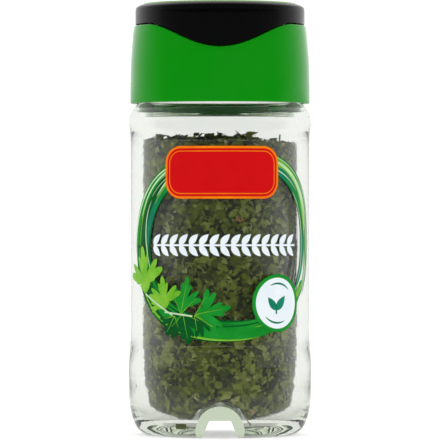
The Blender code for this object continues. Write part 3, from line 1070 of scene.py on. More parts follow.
@dataclass(frozen=True)
class DriedLeafFill:
    """The crumbled leaf: a core painted dark as the shade in the gaps, under thousands of curled flakes, with
    an uneven top.
    """

    radius: float = 0.02040
    crust: float = 0.0008  # depth that the loose flakes fill
    level: float = 0.0770
    level_margin: float = 0.0004  # the core's points above this far below the level belong to its top
    floor_z: float = 0.0034  # lowest that a flake reaches
    tilt: float = math.radians(1.8)
    crown: float = 0.0010  # how much higher the heap's middle is
    bump_height: float = 0.0012
    bump_scale: float = 330.0
    lump_depth: float = 0.0003
    lump_scale: float = 420.0
    # darkest tone, painted on the core as the shade in the gaps between flakes
    core_painted_shade_tone: float = 0.05
    flakes: int = 16500
    usual_flake: float = 0.00150  # breadth of the middle one by size
    flake_spread: float = 0.44
    least_flake: float = 0.0008
    largest_flake: float = 0.0042
    batch: int = 300  # flakes gathered at a time
    seed: int = 11

    def top(self, x: float, y: float) -> float:
        """Height of the heap's surface at a place."""
        rise = self.crown * (1 - (x * x + y * y) / self.radius**2)
        bumps = self.bump_height * noise.noise(Vector((x, y, 0.3)) * self.bump_scale)
        return self.level - x * math.tan(self.tilt) + rise + bumps

    def in_top(self, z: float) -> bool:
        """Whether a height in the core's section belongs to its flat top."""
        return z > self.level - self.level_margin

    def profile(self) -> list[Corner]:
        """The core's section.

        Returns:
            Its corners, from the middle of its top down the wall to the middle of its floor.
        """
        radius = self.radius - self.crust
        sides = [(0.0201, 0), (0.0137, 0.00045), (0.0099, 0.00085), (0.0074, 0.00145), (0.0060, 0.00225)]
        floor = [(0.0048, 0.0034), (0.0038, 0.0048), (0.00335, 0.0064)]
        wall = [Corner(radius - inset, z + self.crust * 0.6) for z, inset in sides + floor]
        rows = [Corner(radius, 0.0201 + i * 0.0028) for i in range(20, 0, -1)]
        rings = [Corner(radius * share, self.level) for share in (0.15, 0.3, 0.45, 0.6, 0.75, 0.88, 0.96)]
        return [Corner(0, self.level), *rings, *rows, *wall, Corner(0, 0.00335 + self.crust * 0.6)]

    def core(self) -> BMesh:
        """The mass inside, a crust's depth in from where the flakes end.

        Returns:
            The closed shape.
        """
        shape = turned(self.profile(), steps=120)
        shape = combined(shape, Join.CUT, [HUMP.shape(grow=HUMP.air + self.crust * 0.5, flat_z=0.0)])
        for vertex in shape.verts:
            if self.in_top(vertex.co.z):
                vertex.co.z = self.top(vertex.co.x, vertex.co.y) - self.crust
            vertex.co -= vertex.normal * self.lump(vertex.co)
        return shape

    def lump(self, place: Vector) -> float:
        """How far the core's surface is pressed in at a place."""
        return self.lump_depth * (1 + noise.noise(place * self.lump_scale))

    def pick_tone(self, rng: random.Random) -> float:
        """A flake's tone, mostly mid green with some dark, some pale and a few tan.

        Args:
            rng: The source of random numbers.

        Returns:
            The tone, from 0 to 1.
        """
        draw = rng.random()
        few_tan, some_pale = 0.015, 0.10
        if draw < few_tan:
            return rng.uniform(0.965, 1.0)
        if draw < some_pale:
            return rng.uniform(0.80, 0.94)
        return min(max(rng.gauss(0.50, 0.27), 0.02), 0.86)

    def flake(self, rng: random.Random, size: float) -> BMesh:
        """One closed, thin, torn and curled flake about the origin, facing +Z.

        Args:
            rng: The source of random numbers.
            size: Its breadth before it is torn and stretched.

        Returns:
            The flake.
        """
        shape = bmesh.new()
        sides = rng.randint(4, 6)
        middle = size * 0.1  # points further out than this are on its edge
        for flip in (1, -1):
            bmesh.ops.create_cone(
                shape,
                cap_ends=False,
                segments=sides,
                radius1=size / 2,
                radius2=0,
                depth=FLAKE_THICKNESS / 2,
                matrix=Matrix.Diagonal((1, 1, flip, 1)),
            )
        for vertex in shape.verts:
            if vertex.co.xy.length > middle:
                vertex.co.z = 0
        bmesh.ops.remove_doubles(shape, verts=shape.verts, dist=WELD)
        stretch = rng.uniform(0.75, 1.5)
        curl = rng.uniform(-0.16, 0.30) / size
        for vertex in shape.verts:
            if vertex.co.xy.length > middle:
                vertex.co.xy *= rng.uniform(0.60, 1.30)
            vertex.co.x *= stretch
            vertex.co.y /= stretch
            vertex.co.z += curl * vertex.co.x**2 + rng.uniform(-0.04, 0.04) * size
        bmesh.ops.recalc_face_normals(shape, faces=shape.faces)
        return shape

    def add_flake(
        self, whole: BMesh, spare: bpy.types.Mesh, flake: BMesh, place: Matrix, tone: float
    ) -> None:
        """Adds one flake to the others, with its tone on its points.

        Args:
            whole: The flakes so far.
            spare: A mesh to pass the flake on by.
            flake: The flake, freed here.
            place: Where it goes.
            tone: Its tone.
        """
        bmesh.ops.transform(flake, matrix=place, verts=flake.verts)
        layer = flake.verts.layers.float.new("tone")
        for vertex in flake.verts:
            vertex[layer] = tone
        flake.to_mesh(spare)
        flake.free()
        whole.from_mesh(spare)

    def spots(self, rng: random.Random, count: int) -> list[tuple[Vector, Vector]]:
        """Random places on the core's surface.

        Args:
            rng: The source of random numbers.
            count: How many places.

        Returns:
            Each place, with the way that the surface faces there.
        """
        bands = list(pairwise(self.profile()))
        areas = [math.hypot(low.r - high.r, low.z - high.z) * (low.r + high.r) for high, low in bands]
        near_hump = HUMP.radius + HUMP.air + self.crust * 0.5
        found = []
        for high, low in rng.choices(bands, weights=areas, k=count):
            share = rng.random()
            if abs(low.r - high.r) > WELD:
                share = (math.sqrt(high.r**2 + share * (low.r**2 - high.r**2)) - high.r) / (low.r - high.r)
            turn = Matrix.Rotation(rng.uniform(0, FULL_TURN), 3, "Z")
            spot = turn @ Vector((high.r + (low.r - high.r) * share, 0, high.z + (low.z - high.z) * share))
            normal = turn @ Vector((high.z - low.z, 0, low.r - high.r)).normalized()
            rise = math.sqrt(max(near_hump**2 - spot.x**2, 0.0))
            if self.in_top(spot.z):
                spot.z = self.top(spot.x, spot.y) - self.crust
                normal = self.top_normal(spot.x, spot.y)
            elif spot.z < HUMP.centre_z + rise:
                spot.z = HUMP.centre_z + rise
                normal = -Vector((spot.x, 0, rise)).normalized()
            found.append((spot - normal * self.lump(spot), normal))
        return found

    def top_normal(self, x: float, y: float, step: float = 0.0008) -> Vector:
        """Which way the heap's surface faces.

        Args:
            x: The place across.
            y: The place from front to back.
            step: Distance that the slope is taken over.

        Returns:
            The direction, of length 1.
        """
        slope_x = (self.top(x + step, y) - self.top(x - step, y)) / (2 * step)
        slope_y = (self.top(x, y + step) - self.top(x, y - step)) / (2 * step)
        return Vector((-slope_x, -slope_y, 1)).normalized()

    def loose_flakes(self) -> BMesh:
        """The flakes that cover the core, pressed flatter where they lie near the glass.

        Returns:
            All the flakes as one shape.
        """
        rng = random.Random(self.seed)
        spare = bpy.data.meshes.new("flake")
        whole = bmesh.new()
        whole.verts.layers.float.new("tone")
        chunk = bmesh.new()
        chunk.verts.layers.float.new("tone")
        for number, (spot, normal) in enumerate(self.spots(rng, self.flakes)):
            size = rng.lognormvariate(math.log(self.usual_flake), self.flake_spread)
            size = min(max(size, self.least_flake), self.largest_flake)
            depth = rng.random() ** 0.7
            on_top = normal.z > 0.6
            lean = rng.gauss(0, 0.85 if on_top else 0.42) * (1.4 - depth)
            proud = rng.random() ** 3 * 0.0030 * (1 - spot.xy.length_squared / self.radius**2)
            lift = self.crust * (0.30 + 0.62 * depth) + (proud if on_top else 0.0)
            centre = spot + normal * (lift - abs(math.sin(lean)) * size * 0.25)
            upright = normal.to_track_quat("Z", "Y").to_matrix().to_4x4()
            turn = Euler((lean, rng.gauss(0, 0.16), 0)).to_matrix().to_4x4()
            spin = Matrix.Rotation(rng.uniform(0, FULL_TURN), 4, "Z")
            place = Matrix.Translation(centre) @ upright @ spin @ turn
            # Flakes lying lower in the crust are painted up to 22% darker: painted shade from the flakes
            # above them.
            tone = self.pick_tone(rng) * (0.78 + 0.22 * depth)
            self.add_flake(chunk, spare, self.flake(rng, size), place, tone)
            if number % self.batch == self.batch - 1:
                chunk.to_mesh(spare)
                whole.from_mesh(spare)
                chunk.clear()
        chunk.to_mesh(spare)
        whole.from_mesh(spare)
        chunk.free()
        bpy.data.meshes.remove(spare)
        self.keep_inside(whole)
        return whole

    def keep_inside(self, shape: BMesh) -> None:
        """Moves what sticks out of the jar's hollow back into it.

        Args:
            shape: The flakes, changed here.
        """
        limit = self.radius + 0.00005
        for vertex in shape.verts:
            reach = vertex.co.xy.length
            if reach > limit:
                vertex.co.xy *= limit / reach
            vertex.co.z = max(vertex.co.z, self.floor_z)
            from_hump = Vector((vertex.co.x, 0, vertex.co.z - HUMP.centre_z))
            short = HUMP.radius + HUMP.air - from_hump.length
            if short > 0:
                vertex.co += from_hump.normalized() * short

    def build(self) -> None:
        """Builds the core and its flakes."""
        core = self.core()
        # The core's dark tone is painted shade for the gaps between the flakes.
        layer = core.verts.layers.float.new("tone")
        for vertex in core.verts:
            vertex[layer] = self.core_painted_shade_tone
        loose = self.loose_flakes()
        finished("leaf_core", core, LEAF, Body.JAR, ["dried_leaf_fill"], crease=180)
        finished("leaf_flakes", loose, LEAF, Body.JAR, crease=12)


@dataclass(frozen=True)
class StandingPieces:
    """The larger curled flakes and the stalk bits that stand out on top of the heap."""

    flakes: int = 11
    stalks: int = 2
    stalk_radius: float = 0.00026
    stalk_tone: float = 0.96
    seed: int = 3

    def flake(self, low: Vector, high: Vector, rng: random.Random) -> BMesh:
        """A torn, curled and lobed flake that fills a box.

        Args:
            low: The box's lowest corner.
            high: The box's highest corner.
            rng: The source of random numbers.

        Returns:
            The flake, closed.
        """
        shape = bmesh.new()
        bmesh.ops.create_circle(shape, cap_ends=True, cap_tris=True, segments=48, radius=1)
        bmesh.ops.subdivide_edges(
            shape, edges=[e for e in shape.edges if not e.is_boundary], cuts=3, use_grid_fill=True
        )
        start = rng.uniform(0, 9)
        for vertex in shape.verts:
            angle = math.atan2(vertex.co.y, vertex.co.x)
            tear = noise.noise(Vector((math.cos(angle) * 2.2, math.sin(angle) * 2.2, start)))
            notch = noise.noise(Vector((math.cos(angle) * 7, math.sin(angle) * 7, start + 4)))
            vertex.co.xy *= 1 + 0.45 * tear + 0.22 * notch
            vertex.co.z = 0.34 * vertex.co.x**2 - 0.18 * vertex.co.y**2 + 0.16 * noise.noise(vertex.co * 2.5)
        pose = Euler((rng.uniform(0.4, 0.8), rng.uniform(-0.3, 0.3), rng.uniform(0, FULL_TURN))).to_matrix()
        bmesh.ops.transform(shape, matrix=pose.to_4x4(), verts=shape.verts)
        spans = [(min(v.co[i] for v in shape.verts), max(v.co[i] for v in shape.verts)) for i in range(3)]
        for vertex in shape.verts:
            for i, (least, most) in enumerate(spans):
                room = high[i] - low[i] - FLAKE_THICKNESS
                vertex.co[i] = low[i] + FLAKE_THICKNESS / 2 + room * (vertex.co[i] - least) / (most - least)
        bmesh.ops.recalc_face_normals(shape, faces=shape.faces)
        bmesh.ops.solidify(shape, geom=shape.faces[:], thickness=FLAKE_THICKNESS)
        return shape

    def stalk(self, low: Vector, high: Vector) -> BMesh:
        """A short dry stalk along a box's diagonal, with an uneven thickness.

        Args:
            low: The box's lowest corner.
            high: The box's highest corner.

        Returns:
            The stalk, closed.
        """
        inset = Vector((self.stalk_radius,) * 3)
        start, end = low + inset, high - inset
        shape = rod(self.stalk_radius, start, end, segments=14)
        along = (end - start).normalized()
        lengthwise = [
            edge
            for edge in shape.edges
            if abs((edge.verts[1].co - edge.verts[0].co).normalized().dot(along)) > 0.9
        ]
        bmesh.ops.subdivide_edges(shape, edges=lengthwise, cuts=12)
        for vertex in shape.verts:
            on_axis = start + along * (vertex.co - start).dot(along)
            vertex.co = on_axis + (vertex.co - on_axis) * (0.86 + 0.2 * noise.noise(vertex.co * 1800))
        return shape

    def build(self) -> None:
        """Builds every piece in its place."""
        rng = random.Random(self.seed)
        names = [f"leaf_flake_{number:02d}" for number in range(1, self.flakes + 1)]
        names += [f"stalk_bit_{number}" for number in range(1, self.stalks + 1)]
        for name in names:
            low, high = (Vector(corner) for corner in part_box(name))
            is_stalk = name.startswith("stalk")
            shape = self.stalk(low, high) if is_stalk else self.flake(low, high, rng)
            layer = shape.verts.layers.float.new("tone")
            tone = self.stalk_tone if is_stalk else rng.uniform(0.35, 0.75)
            for vertex in shape.verts:
                vertex[layer] = tone
            finished(f"standing_{name}", shape, LEAF, Body.JAR, [name], crease=50)


# ---------------------------------------------------------------- the labels


@dataclass(frozen=True)
class FilmBend:
    """Bends flat artwork round the jar.

    Artwork is drawn in the XZ plane, where X is the way round and Z is the height.
    """

    radius: float = 0.02374
    layer: float = 0.000012  # from one layer to the next
    ink: float = 0.00002  # an ink's thickness
    pleat: float = 0.0008  # widest strip that stays flat

    def bend(self, flat: BMesh, layer: int = 0, thickness: float | None = None) -> BMesh:
        """Gives flat artwork its thickness and bends it round the jar.

        Args:
            flat: Faces in the XZ plane.
            layer: How many layers out from the bend's radius it lies.
            thickness: The ink's or film's thickness, or none for that of ink.

        Returns:
            The same shape as a closed, bent sheet.
        """
        places = [vertex.co.x for vertex in flat.verts]
        low, high = min(places), max(places)
        for number in range(1, math.ceil((high - low) / self.pleat)):
            bmesh.ops.bisect_plane(
                flat,
                geom=flat.verts[:] + flat.edges[:] + flat.faces[:],
                dist=WELD,
                plane_co=(low + number * self.pleat, 0, 0),
                plane_no=(1, 0, 0),
            )
        raised = bmesh.ops.extrude_face_region(flat, geom=flat.faces[:])["geom"]
        for item in raised:
            if isinstance(item, bmesh.types.BMVert):
                item.co.y -= self.ink if thickness is None else thickness
        bmesh.ops.recalc_face_normals(flat, faces=flat.faces)
        for vertex in flat.verts:
            angle = vertex.co.x / self.radius
            reach = self.radius + layer * self.layer - vertex.co.y
            vertex.co = (reach * math.sin(angle), -reach * math.cos(angle), vertex.co.z)
        return flat


BEND = FilmBend()
UPRIGHT = Matrix.Rotation(math.pi / 2, 4, "X")  # turns a flat shape into the XZ plane
LABEL_LOW, LABEL_HIGH = 0.0238, 0.0770
LABEL_MIDDLE = Vector((0, 0, (LABEL_LOW + LABEL_HIGH) / 2))
LABEL_CORNER = 0.002
FILM_LAYER = -10  # films lie this many layers under the first ink


def ribbon(path: Callable[[float], Vector], width: Callable[[float], float], steps: int) -> BMesh:
    """A flat ribbon in the XZ plane.

    Args:
        path: The ribbon's middle line, from 0 to 1.
        width: Its width along that line.
        steps: Lengths that it is divided into.

    Returns:
        The ribbon.
    """
    shape = bmesh.new()
    bmesh.ops.create_grid(shape, x_segments=steps, y_segments=1, size=1)
    for vertex in shape.verts:
        share = (vertex.co.x + 1) / 2
        near = 0.004  # share of its length that its direction is taken over
        ahead = path(min(share + near, 1.0)) - path(max(share - near, 0.0))
        across = Vector((-ahead.z, 0, ahead.x)).normalized()
        vertex.co = path(share) + across * vertex.co.y * width(share) / 2
    return shape


def disc(centre: Vector, half_width: float, half_height: float) -> BMesh:
    """A flat ellipse in the XZ plane.

    Args:
        centre: Its middle.
        half_width: Half its width.
        half_height: Half its height.

    Returns:
        The ellipse.
    """
    shape = bmesh.new()
    place = Matrix.Translation(centre) @ Matrix.Diagonal((half_width, 1, half_height, 1)) @ UPRIGHT
    bmesh.ops.create_circle(shape, cap_ends=True, segments=72, radius=1, matrix=place)
    return shape


def panel(centre: Vector, width: float, height: float, corner: float = 0.0) -> BMesh:
    """A flat rectangle in the XZ plane.

    Args:
        centre: Its middle.
        width: Its width.
        height: Its height.
        corner: Radius of its rounded corners, or 0 for sharp ones.

    Returns:
        The rectangle.
    """
    shape = bmesh.new()
    place = Matrix.Translation(centre) @ Matrix.Diagonal((width / 2, 1, height / 2, 1)) @ UPRIGHT
    bmesh.ops.create_grid(shape, x_segments=1, y_segments=1, size=1, matrix=place)
    if corner:
        bmesh.ops.bevel(
            shape,
            geom=shape.verts[:],
            offset=corner,
            offset_type="OFFSET",
            segments=10,
            profile=0.5,
            affect="VERTICES",
            material=-1,
        )
    return shape


def lobed_leaf(foot: Vector, length: float, breadth: float, heading: float, teeth: int) -> BMesh:
    """A flat fan-shaped leaf with three broad lobes, whose edges are scalloped.

    Args:
        foot: Where its stalk joins it.
        length: From foot to tip.
        breadth: Breadth as a share of a plain leaf's.
        heading: Direction of its tip, 0 along X and a quarter turn along Z.
        teeth: Teeth in a full turn of its edge.

    Returns:
        The leaf in the XZ plane.
    """
    shape = bmesh.new()
    bmesh.ops.create_circle(shape, cap_ends=True, cap_tris=True, segments=168, radius=1)
    lobes = ((0.0, 1.0, 0.54), (1.10, 0.92, 0.54), (-1.10, 0.92, 0.54))  # angle, height, half width
    web, notch = 0.26, 0.32  # how far the leaf reaches between lobes, and how deep its scallops are
    for vertex in shape.verts:
        if vertex.co.length < 0.5:
            continue
        angle = math.atan2(vertex.co.y, vertex.co.x)
        lobe = max(high * (1 - min(abs(angle - at) / wide, 1.0) ** 3) for at, high, wide in lobes)
        scallop = 1 - notch * (1 - abs(math.cos(teeth * angle / 2))) * ramp(0.1, 0.5, lobe)
        vertex.co *= (web + (1 - web) * lobe) * scallop
    along = Vector((math.cos(heading), 0, math.sin(heading)))
    across = Vector((-along.z, 0, along.x))
    middle = foot + along * length * 0.25
    for vertex in shape.verts:
        x, y = vertex.co.x * length * 0.75, vertex.co.y * length * 0.75 * breadth
        vertex.co = middle + along * x + across * y
    return shape


def plain_leaf(foot: Vector, length: float, heading: float, breadth: float, bow: float = 0.0) -> BMesh:
    """A flat oval leaf with a pointed tip, in the XZ plane.

    Args:
        foot: Where its stalk joins it.
        length: From foot to tip.
        heading: Direction of its tip, 0 along X and a quarter turn along Z.
        breadth: Widest breadth as a share of its length.
        bow: How far its middle bends aside.

    Returns:
        The leaf.
    """
    along = Vector((math.cos(heading), 0, math.sin(heading)))
    aside = Vector((-along.z, 0, along.x)) * bow

    def middle_line(share: float) -> Vector:
        """The leaf's midrib."""
        return foot + along * length * share + aside * math.sin(math.pi * share)

    def width(share: float) -> float:
        """The leaf's width."""
        return length * breadth * max(math.sin(math.pi * min(max(share, 0.0), 1.0) ** 0.8), 0.02) ** 0.85

    return ribbon(middle_line, width, 18)


class Ink(Enum):
    """The label's printing inks, each a shade and a close second shade."""

    DEEP = ((0, 92, 34), (4, 78, 32))
    LEAF = ((10, 130, 36), (26, 148, 46))
    FRESH = ((98, 170, 34), (132, 190, 58))
    TEAL = ((0, 112, 84), (18, 132, 100))
    PALE = ((206, 226, 192), (168, 206, 158))
    WHITE = ((234, 241, 244), (224, 234, 240))
    RED = ((204, 5, 10), (200, 3, 8))
    ORANGE = ((242, 134, 0), (232, 104, 8))

    def finish(self) -> PrintedInk:
        """The ink as a finish."""
        first, second = (linear(*shade) for shade in self.value)
        return PrintedInk(f"{self.name.lower()}_ink", first, second)


@dataclass(frozen=True)
class Strand:
    """One brushed strand of the label's ring: where it runs and how wide it is."""

    start: float  # degrees round the ring, 0 to the right and rising to the top
    end: float
    from_share: float  # place across the ring's band, 0 outside and 1 inside
    to_share: float
    width: float


@dataclass(frozen=True)
class RingOfStrands:
    """The ring of brushed green strands that circles the front label."""

    centre: tuple[float, float] = (0.0012, 0.0502)
    half_width: float = 0.0290
    half_height: float = 0.0252
    squareness: float = 0.92
    band: float = 0.0063  # breadth of the ring's band
    band_swing: float = 0.0014  # how much broader it is at the left and narrower at the right
    band_squash: float = 0.86
    lean: float = 0.05  # rise towards the right of its upper half
    first: float = -36  # degrees where the loose strands begin
    last: float = 336
    loose_strands: int = 46
    seed: int = 5

    def point(self, degrees: float, share: float) -> Vector:
        """A place on the ring's band.

        Args:
            degrees: Place round the ring, 0 to the right and rising to the top.
            share: Place across the band, 0 outside and 1 inside.

        Returns:
            The place in the XZ plane.
        """
        angle = math.radians(degrees)
        band = self.band - self.band_swing * math.cos(angle)
        half_width = self.half_width - share * band
        half_height = self.half_height - share * band * self.band_squash
        across = half_width * math.copysign(abs(math.cos(angle)) ** self.squareness, math.cos(angle))
        up = half_height * math.copysign(abs(math.sin(angle)) ** self.squareness, math.sin(angle))
        lean = self.lean * across if up > 0 else 0.0
        return Vector((self.centre[0] + across, 0, self.centre[1] + up + lean))

    def brushed(self, strand: Strand) -> BMesh:
        """A strand as a ribbon that thins towards its ends.

        Args:
            strand: Where it runs and how wide it is.

        Returns:
            The ribbon.
        """

        def path(share: float) -> Vector:
            """The strand's middle line."""
            turn = strand.start + (strand.end - strand.start) * share
            drift = (strand.to_share - strand.from_share) * ramp(0, 1, share)
            return self.point(turn, strand.from_share + drift)

        def width(share: float) -> float:
            """The strand's width."""
            return strand.width * (0.06 + 0.94 * math.sin(math.pi * min(max(share, 0.0), 1.0)) ** 0.6)

        steps = max(16, int(abs(strand.end - strand.start) / 2.2))
        return ribbon(path, width, steps)

    def ground(self) -> dict[Ink, list[BMesh]]:
        """The broad strands that the finer ones lie on."""
        broad = {
            Ink.DEEP: [
                Strand(105, 332, 0.55, 0.50, 0.0066),
                Strand(150, 285, 0.16, 0.30, 0.0020),
                Strand(60, 250, 0.84, 0.80, 0.0022),
                Strand(-36, 74, 0.90, 0.86, 0.0012),
                Strand(-30, 112, 0.10, 0.16, 0.0012),
            ],
            Ink.LEAF: [
                Strand(225, 338, 0.42, 0.48, 0.0042),
                Strand(115, 200, 0.30, 0.20, 0.0022),
                Strand(-34, 110, 0.34, 0.16, 0.0016),
            ],
            Ink.TEAL: [
                Strand(-30, 68, 0.78, 0.62, 0.0024),
                Strand(118, 188, 0.86, 0.78, 0.0016),
            ],
        }
        return {ink: [self.brushed(strand) for strand in strands] for ink, strands in broad.items()}

    def fine(self) -> dict[Ink, list[BMesh]]:
        """The finer strands, laid at random along the ring."""
        rng = random.Random(self.seed)
        inks = [Ink.DEEP, Ink.LEAF, Ink.FRESH, Ink.TEAL, Ink.PALE]
        made: dict[Ink, list[BMesh]] = {ink: [] for ink in inks}
        for _ in range(self.loose_strands):
            start = rng.uniform(self.first, 300)
            length = rng.uniform(34, 92)
            share = rng.uniform(0.10, 0.90)
            end_share = min(max(share + rng.uniform(-0.3, 0.3), 0.06), 0.92)
            low_down = 205 < start + length / 2 < 330
            weights = (4, 6, 0.9, 0.6, 0.2) if low_down else (2.4, 4, 3.4, 1.5, 3.6)
            ink = rng.choices(inks, weights=weights)[0]
            end = min(start + length, self.last)
            if ink is Ink.PALE and end > 225 and start < 320:
                ink = Ink.FRESH
            width = rng.uniform(0.0003, 0.0008) if ink is not Ink.PALE else rng.uniform(0.00022, 0.0006)
            made[ink].append(self.brushed(Strand(start, end, share, end_share, width)))
        return made


@dataclass(frozen=True)
class FrontLabel:
    """The clear front label with its print: ring, leaves, blank plate, leaf border and round badge."""

    half_arc: float = math.radians(105)
    film_thickness: float = 0.00010
    edge_line: float = 0.00016
    plate_centre: tuple[float, float] = (0.0006, 0.0687)
    plate_size: tuple[float, float] = (0.0310, 0.0136)
    plate_corner: float = 0.0045
    plate_insets: tuple[float, ...] = (0.0, 0.0012, 0.0024, 0.0029)  # edge, face, fine line, face again
    border_ends: tuple[float, float] = (-0.0188, 0.0222)
    border_z: float = 0.0499
    border_leaves: int = 15
    border_leaf: float = 0.0036
    stem_width: float = 0.00050
    badge_centre: tuple[float, float] = (0.0159, 0.0349)
    badge_rim: float = 0.0075
    badge_face: tuple[float, float] = (0.0065, 0.0066)  # half its width and half its height
    badge_arc: float = 0.0051

    def film(self) -> None:
        """The film and the fine line of its edge."""
        width = 2 * self.half_arc * BEND.radius
        sheet = panel(LABEL_MIDDLE, width, LABEL_HIGH - LABEL_LOW, LABEL_CORNER)
        film = BEND.bend(sheet, FILM_LAYER, self.film_thickness)
        finished("front_film", film, FILM, Body.JAR, ["front_label"])
        edges = bmesh.new()
        for z in (LABEL_LOW, LABEL_HIGH):
            line = panel(Vector((0, 0, z)), width - 2 * LABEL_CORNER, self.edge_line)
            add_shape(edges, BEND.bend(line, layer=-1, thickness=0.00001))
        finished("film_edges", edges, FILM_EDGE, Body.JAR)

    def press(self, name: str, ink: Ink, flats: Iterable[tuple[int, BMesh]]) -> None:
        """Prints flat artwork in one ink.

        Args:
            name: The printed piece's name.
            ink: Its ink.
            flats: Flat shapes, each with the layer that it lies on.
        """
        whole = bmesh.new()
        for layer, flat in flats:
            add_shape(whole, BEND.bend(flat, layer))
        finished(name, whole, ink.finish(), Body.JAR)

    def ring(self) -> None:
        """The ring of strands."""
        ring = RingOfStrands()
        ground_layers = {Ink.DEEP: 0, Ink.TEAL: 1, Ink.LEAF: 2}
        fine_layers = {Ink.DEEP: 3, Ink.TEAL: 4, Ink.LEAF: 5, Ink.FRESH: 6, Ink.PALE: 7}
        flats: dict[Ink, list[tuple[int, BMesh]]] = {ink: [] for ink in fine_layers}
        for made, layers in ((ring.ground(), ground_layers), (ring.fine(), fine_layers)):
            for ink, shapes in made.items():
                flats[ink] += [(layers[ink], shape) for shape in shapes]
        for ink, pieces in flats.items():
            self.press(f"ring_{ink.name.lower()}", ink, pieces)

    def leaves(self) -> None:
        """The printed sprig at the lower left, each leaf with its veins."""
        sprig = (  # ink, layer, foot, length, breadth, heading in degrees
            (Ink.DEEP, 9, (-0.0098, 0.0322), 0.0080, 1.15, -78),
            (Ink.DEEP, 9, (-0.0122, 0.0316), 0.0058, 1.0, -118),
            (Ink.DEEP, 9, (-0.0066, 0.0318), 0.0070, 1.0, -32),
            (Ink.LEAF, 10, (-0.0064, 0.0320), 0.0094, 0.95, 12),
            (Ink.LEAF, 12, (-0.0104, 0.0322), 0.0098, 0.72, 78),
            (Ink.FRESH, 13, (-0.0152, 0.0332), 0.0088, 0.92, 96),
            (Ink.FRESH, 14, (-0.0222, 0.0370), 0.0128, 0.85, 98),
            (Ink.FRESH, 14, (-0.0162, 0.0335), 0.0050, 0.8, 150),
        )
        flats: dict[Ink, list[tuple[int, BMesh]]] = {Ink.DEEP: [], Ink.LEAF: [], Ink.FRESH: []}
        stalks: list[tuple[int, BMesh]] = []
        for ink, layer, (x, z), length, breadth, degrees in sprig:
            foot, heading = Vector((x, 0, z)), math.radians(degrees)
            flats[ink].append((layer, lobed_leaf(foot, length, breadth, heading, teeth=15)))
            for spread, reach in ((0, 0.80), (0.85, 0.58), (-0.85, 0.58)):
                turn = heading + spread * breadth
                tip = foot + Vector((math.cos(turn), 0, math.sin(turn))) * length * reach
                vein = ribbon(lambda u, a=foot, b=tip: a.lerp(b, u), lambda u: 0.00018 - 0.00012 * u, 6)
                flats[Ink.FRESH].append((15, vein))
        stems = (((-0.0222, 0.0372), (-0.0128, 0.0318)), ((-0.0152, 0.0326), (-0.0072, 0.0316)))
        for (x0, z0), (x1, z1) in stems:
            start, end = Vector((x0, 0, z0)), Vector((x1, 0, z1))
            stalks.append((16, ribbon(lambda u, a=start, b=end: a.lerp(b, u), lambda u: 0.00042, 8)))
        for ink, pieces in flats.items():
            self.press(f"leaf_print_{ink.name.lower()}", ink, pieces)
        self.press("leaf_print_stalks", Ink.PALE, stalks)

    def plate(self) -> None:
        """The blank plate, with an edge and a fine line inside it."""
        centre = Vector((self.plate_centre[0], 0, self.plate_centre[1]))
        width, height = self.plate_size
        rims = [
            panel(centre, width - inset, height - inset, self.plate_corner - inset / 2)
            for inset in self.plate_insets
        ]
        self.press("plate_edge", Ink.ORANGE, [(18, rims[0]), (22, rims[2])])
        self.press("plate_face", Ink.RED, [(20, rims[1]), (24, rims[3])])

    def border(self) -> None:
        """The white border of paired leaves along a stem."""
        start, end = self.border_ends

        def stem(share: float) -> Vector:
            """The stem's middle line."""
            return Vector((start + (end - start) * share, 0, self.border_z))

        flats = [(22, ribbon(stem, lambda share: self.stem_width, steps=160))]
        for number in range(self.border_leaves):
            foot = stem(number / self.border_leaves)
            for side in (1, -1):
                leaf = plain_leaf(foot, self.border_leaf, math.radians(52 * side), 0.47, bow=0.0002 * side)
                flats.append((22, leaf))
        self.press("leaf_border", Ink.WHITE, flats)

    def badge(self) -> None:
        """The round badge: a green rim, a white face, two arcs and a sprout of two leaves."""
        centre = Vector((self.badge_centre[0], 0, self.badge_centre[1]))
        self.press("badge_rim", Ink.LEAF, [(18, disc(centre, self.badge_rim, self.badge_rim))])
        self.press("badge_face", Ink.WHITE, [(20, disc(centre, *self.badge_face))])
        marks = []
        for middle in (80, 260):

            def arc(share: float, middle: float = middle) -> Vector:
                """One arc of the badge."""
                angle = math.radians(middle - 38 + 76 * share)
                return centre + Vector((math.cos(angle), 0, math.sin(angle))) * self.badge_arc

            marks.append((22, ribbon(arc, lambda share: 0.0005 * math.sin(math.pi * share) ** 0.6, 24)))
        foot = centre - Vector((0.0004, 0, 0.0028))
        for degrees, length in ((128, 0.0042), (52, 0.0046)):
            marks.append((22, plain_leaf(foot + Vector((0, 0, 0.0010)), length, math.radians(degrees), 0.46)))
        marks.append((22, ribbon(lambda u: foot.lerp(foot + Vector((0, 0, 0.0016)), u), lambda u: 0.0005, 4)))
        self.press("badge_marks", Ink.TEAL, marks)

    def build(self) -> None:
        """Builds the film and all its print."""
        self.film()
        self.ring()
        self.leaves()
        self.plate()
        self.border()
        self.badge()


@dataclass(frozen=True)
class BackLabel:
    """The pale back label, blank between two green lines."""

    half_arc: float = math.radians(60)
    thickness: float = 0.00010
    line: float = 0.0016
    line_corner: float = 0.0004
    inset: float = 0.0022

    def build(self) -> None:
        """Builds the label."""
        width = 2 * self.half_arc * BEND.radius
        whole = panel(LABEL_MIDDLE, width, LABEL_HIGH - LABEL_LOW, LABEL_CORNER)
        sheet = BEND.bend(whole, FILM_LAYER, self.thickness)
        lines = bmesh.new()
        for z in (LABEL_LOW + self.inset, LABEL_HIGH - self.inset):
            line = panel(Vector((0, 0, z)), width - 2 * self.inset, self.line, self.line_corner)
            add_shape(lines, BEND.bend(line))
        half_turn = Matrix.Rotation(math.pi, 4, "Z")
        for shape in (sheet, lines):
            bmesh.ops.transform(shape, matrix=half_turn, verts=shape.verts)
        finished("back_film_sheet", sheet, PALE_FILM, Body.JAR, ["back_label"])
        finished("back_film_lines", lines, Ink.LEAF.finish(), Body.JAR)


# ---------------------------------------------------------------- the closure


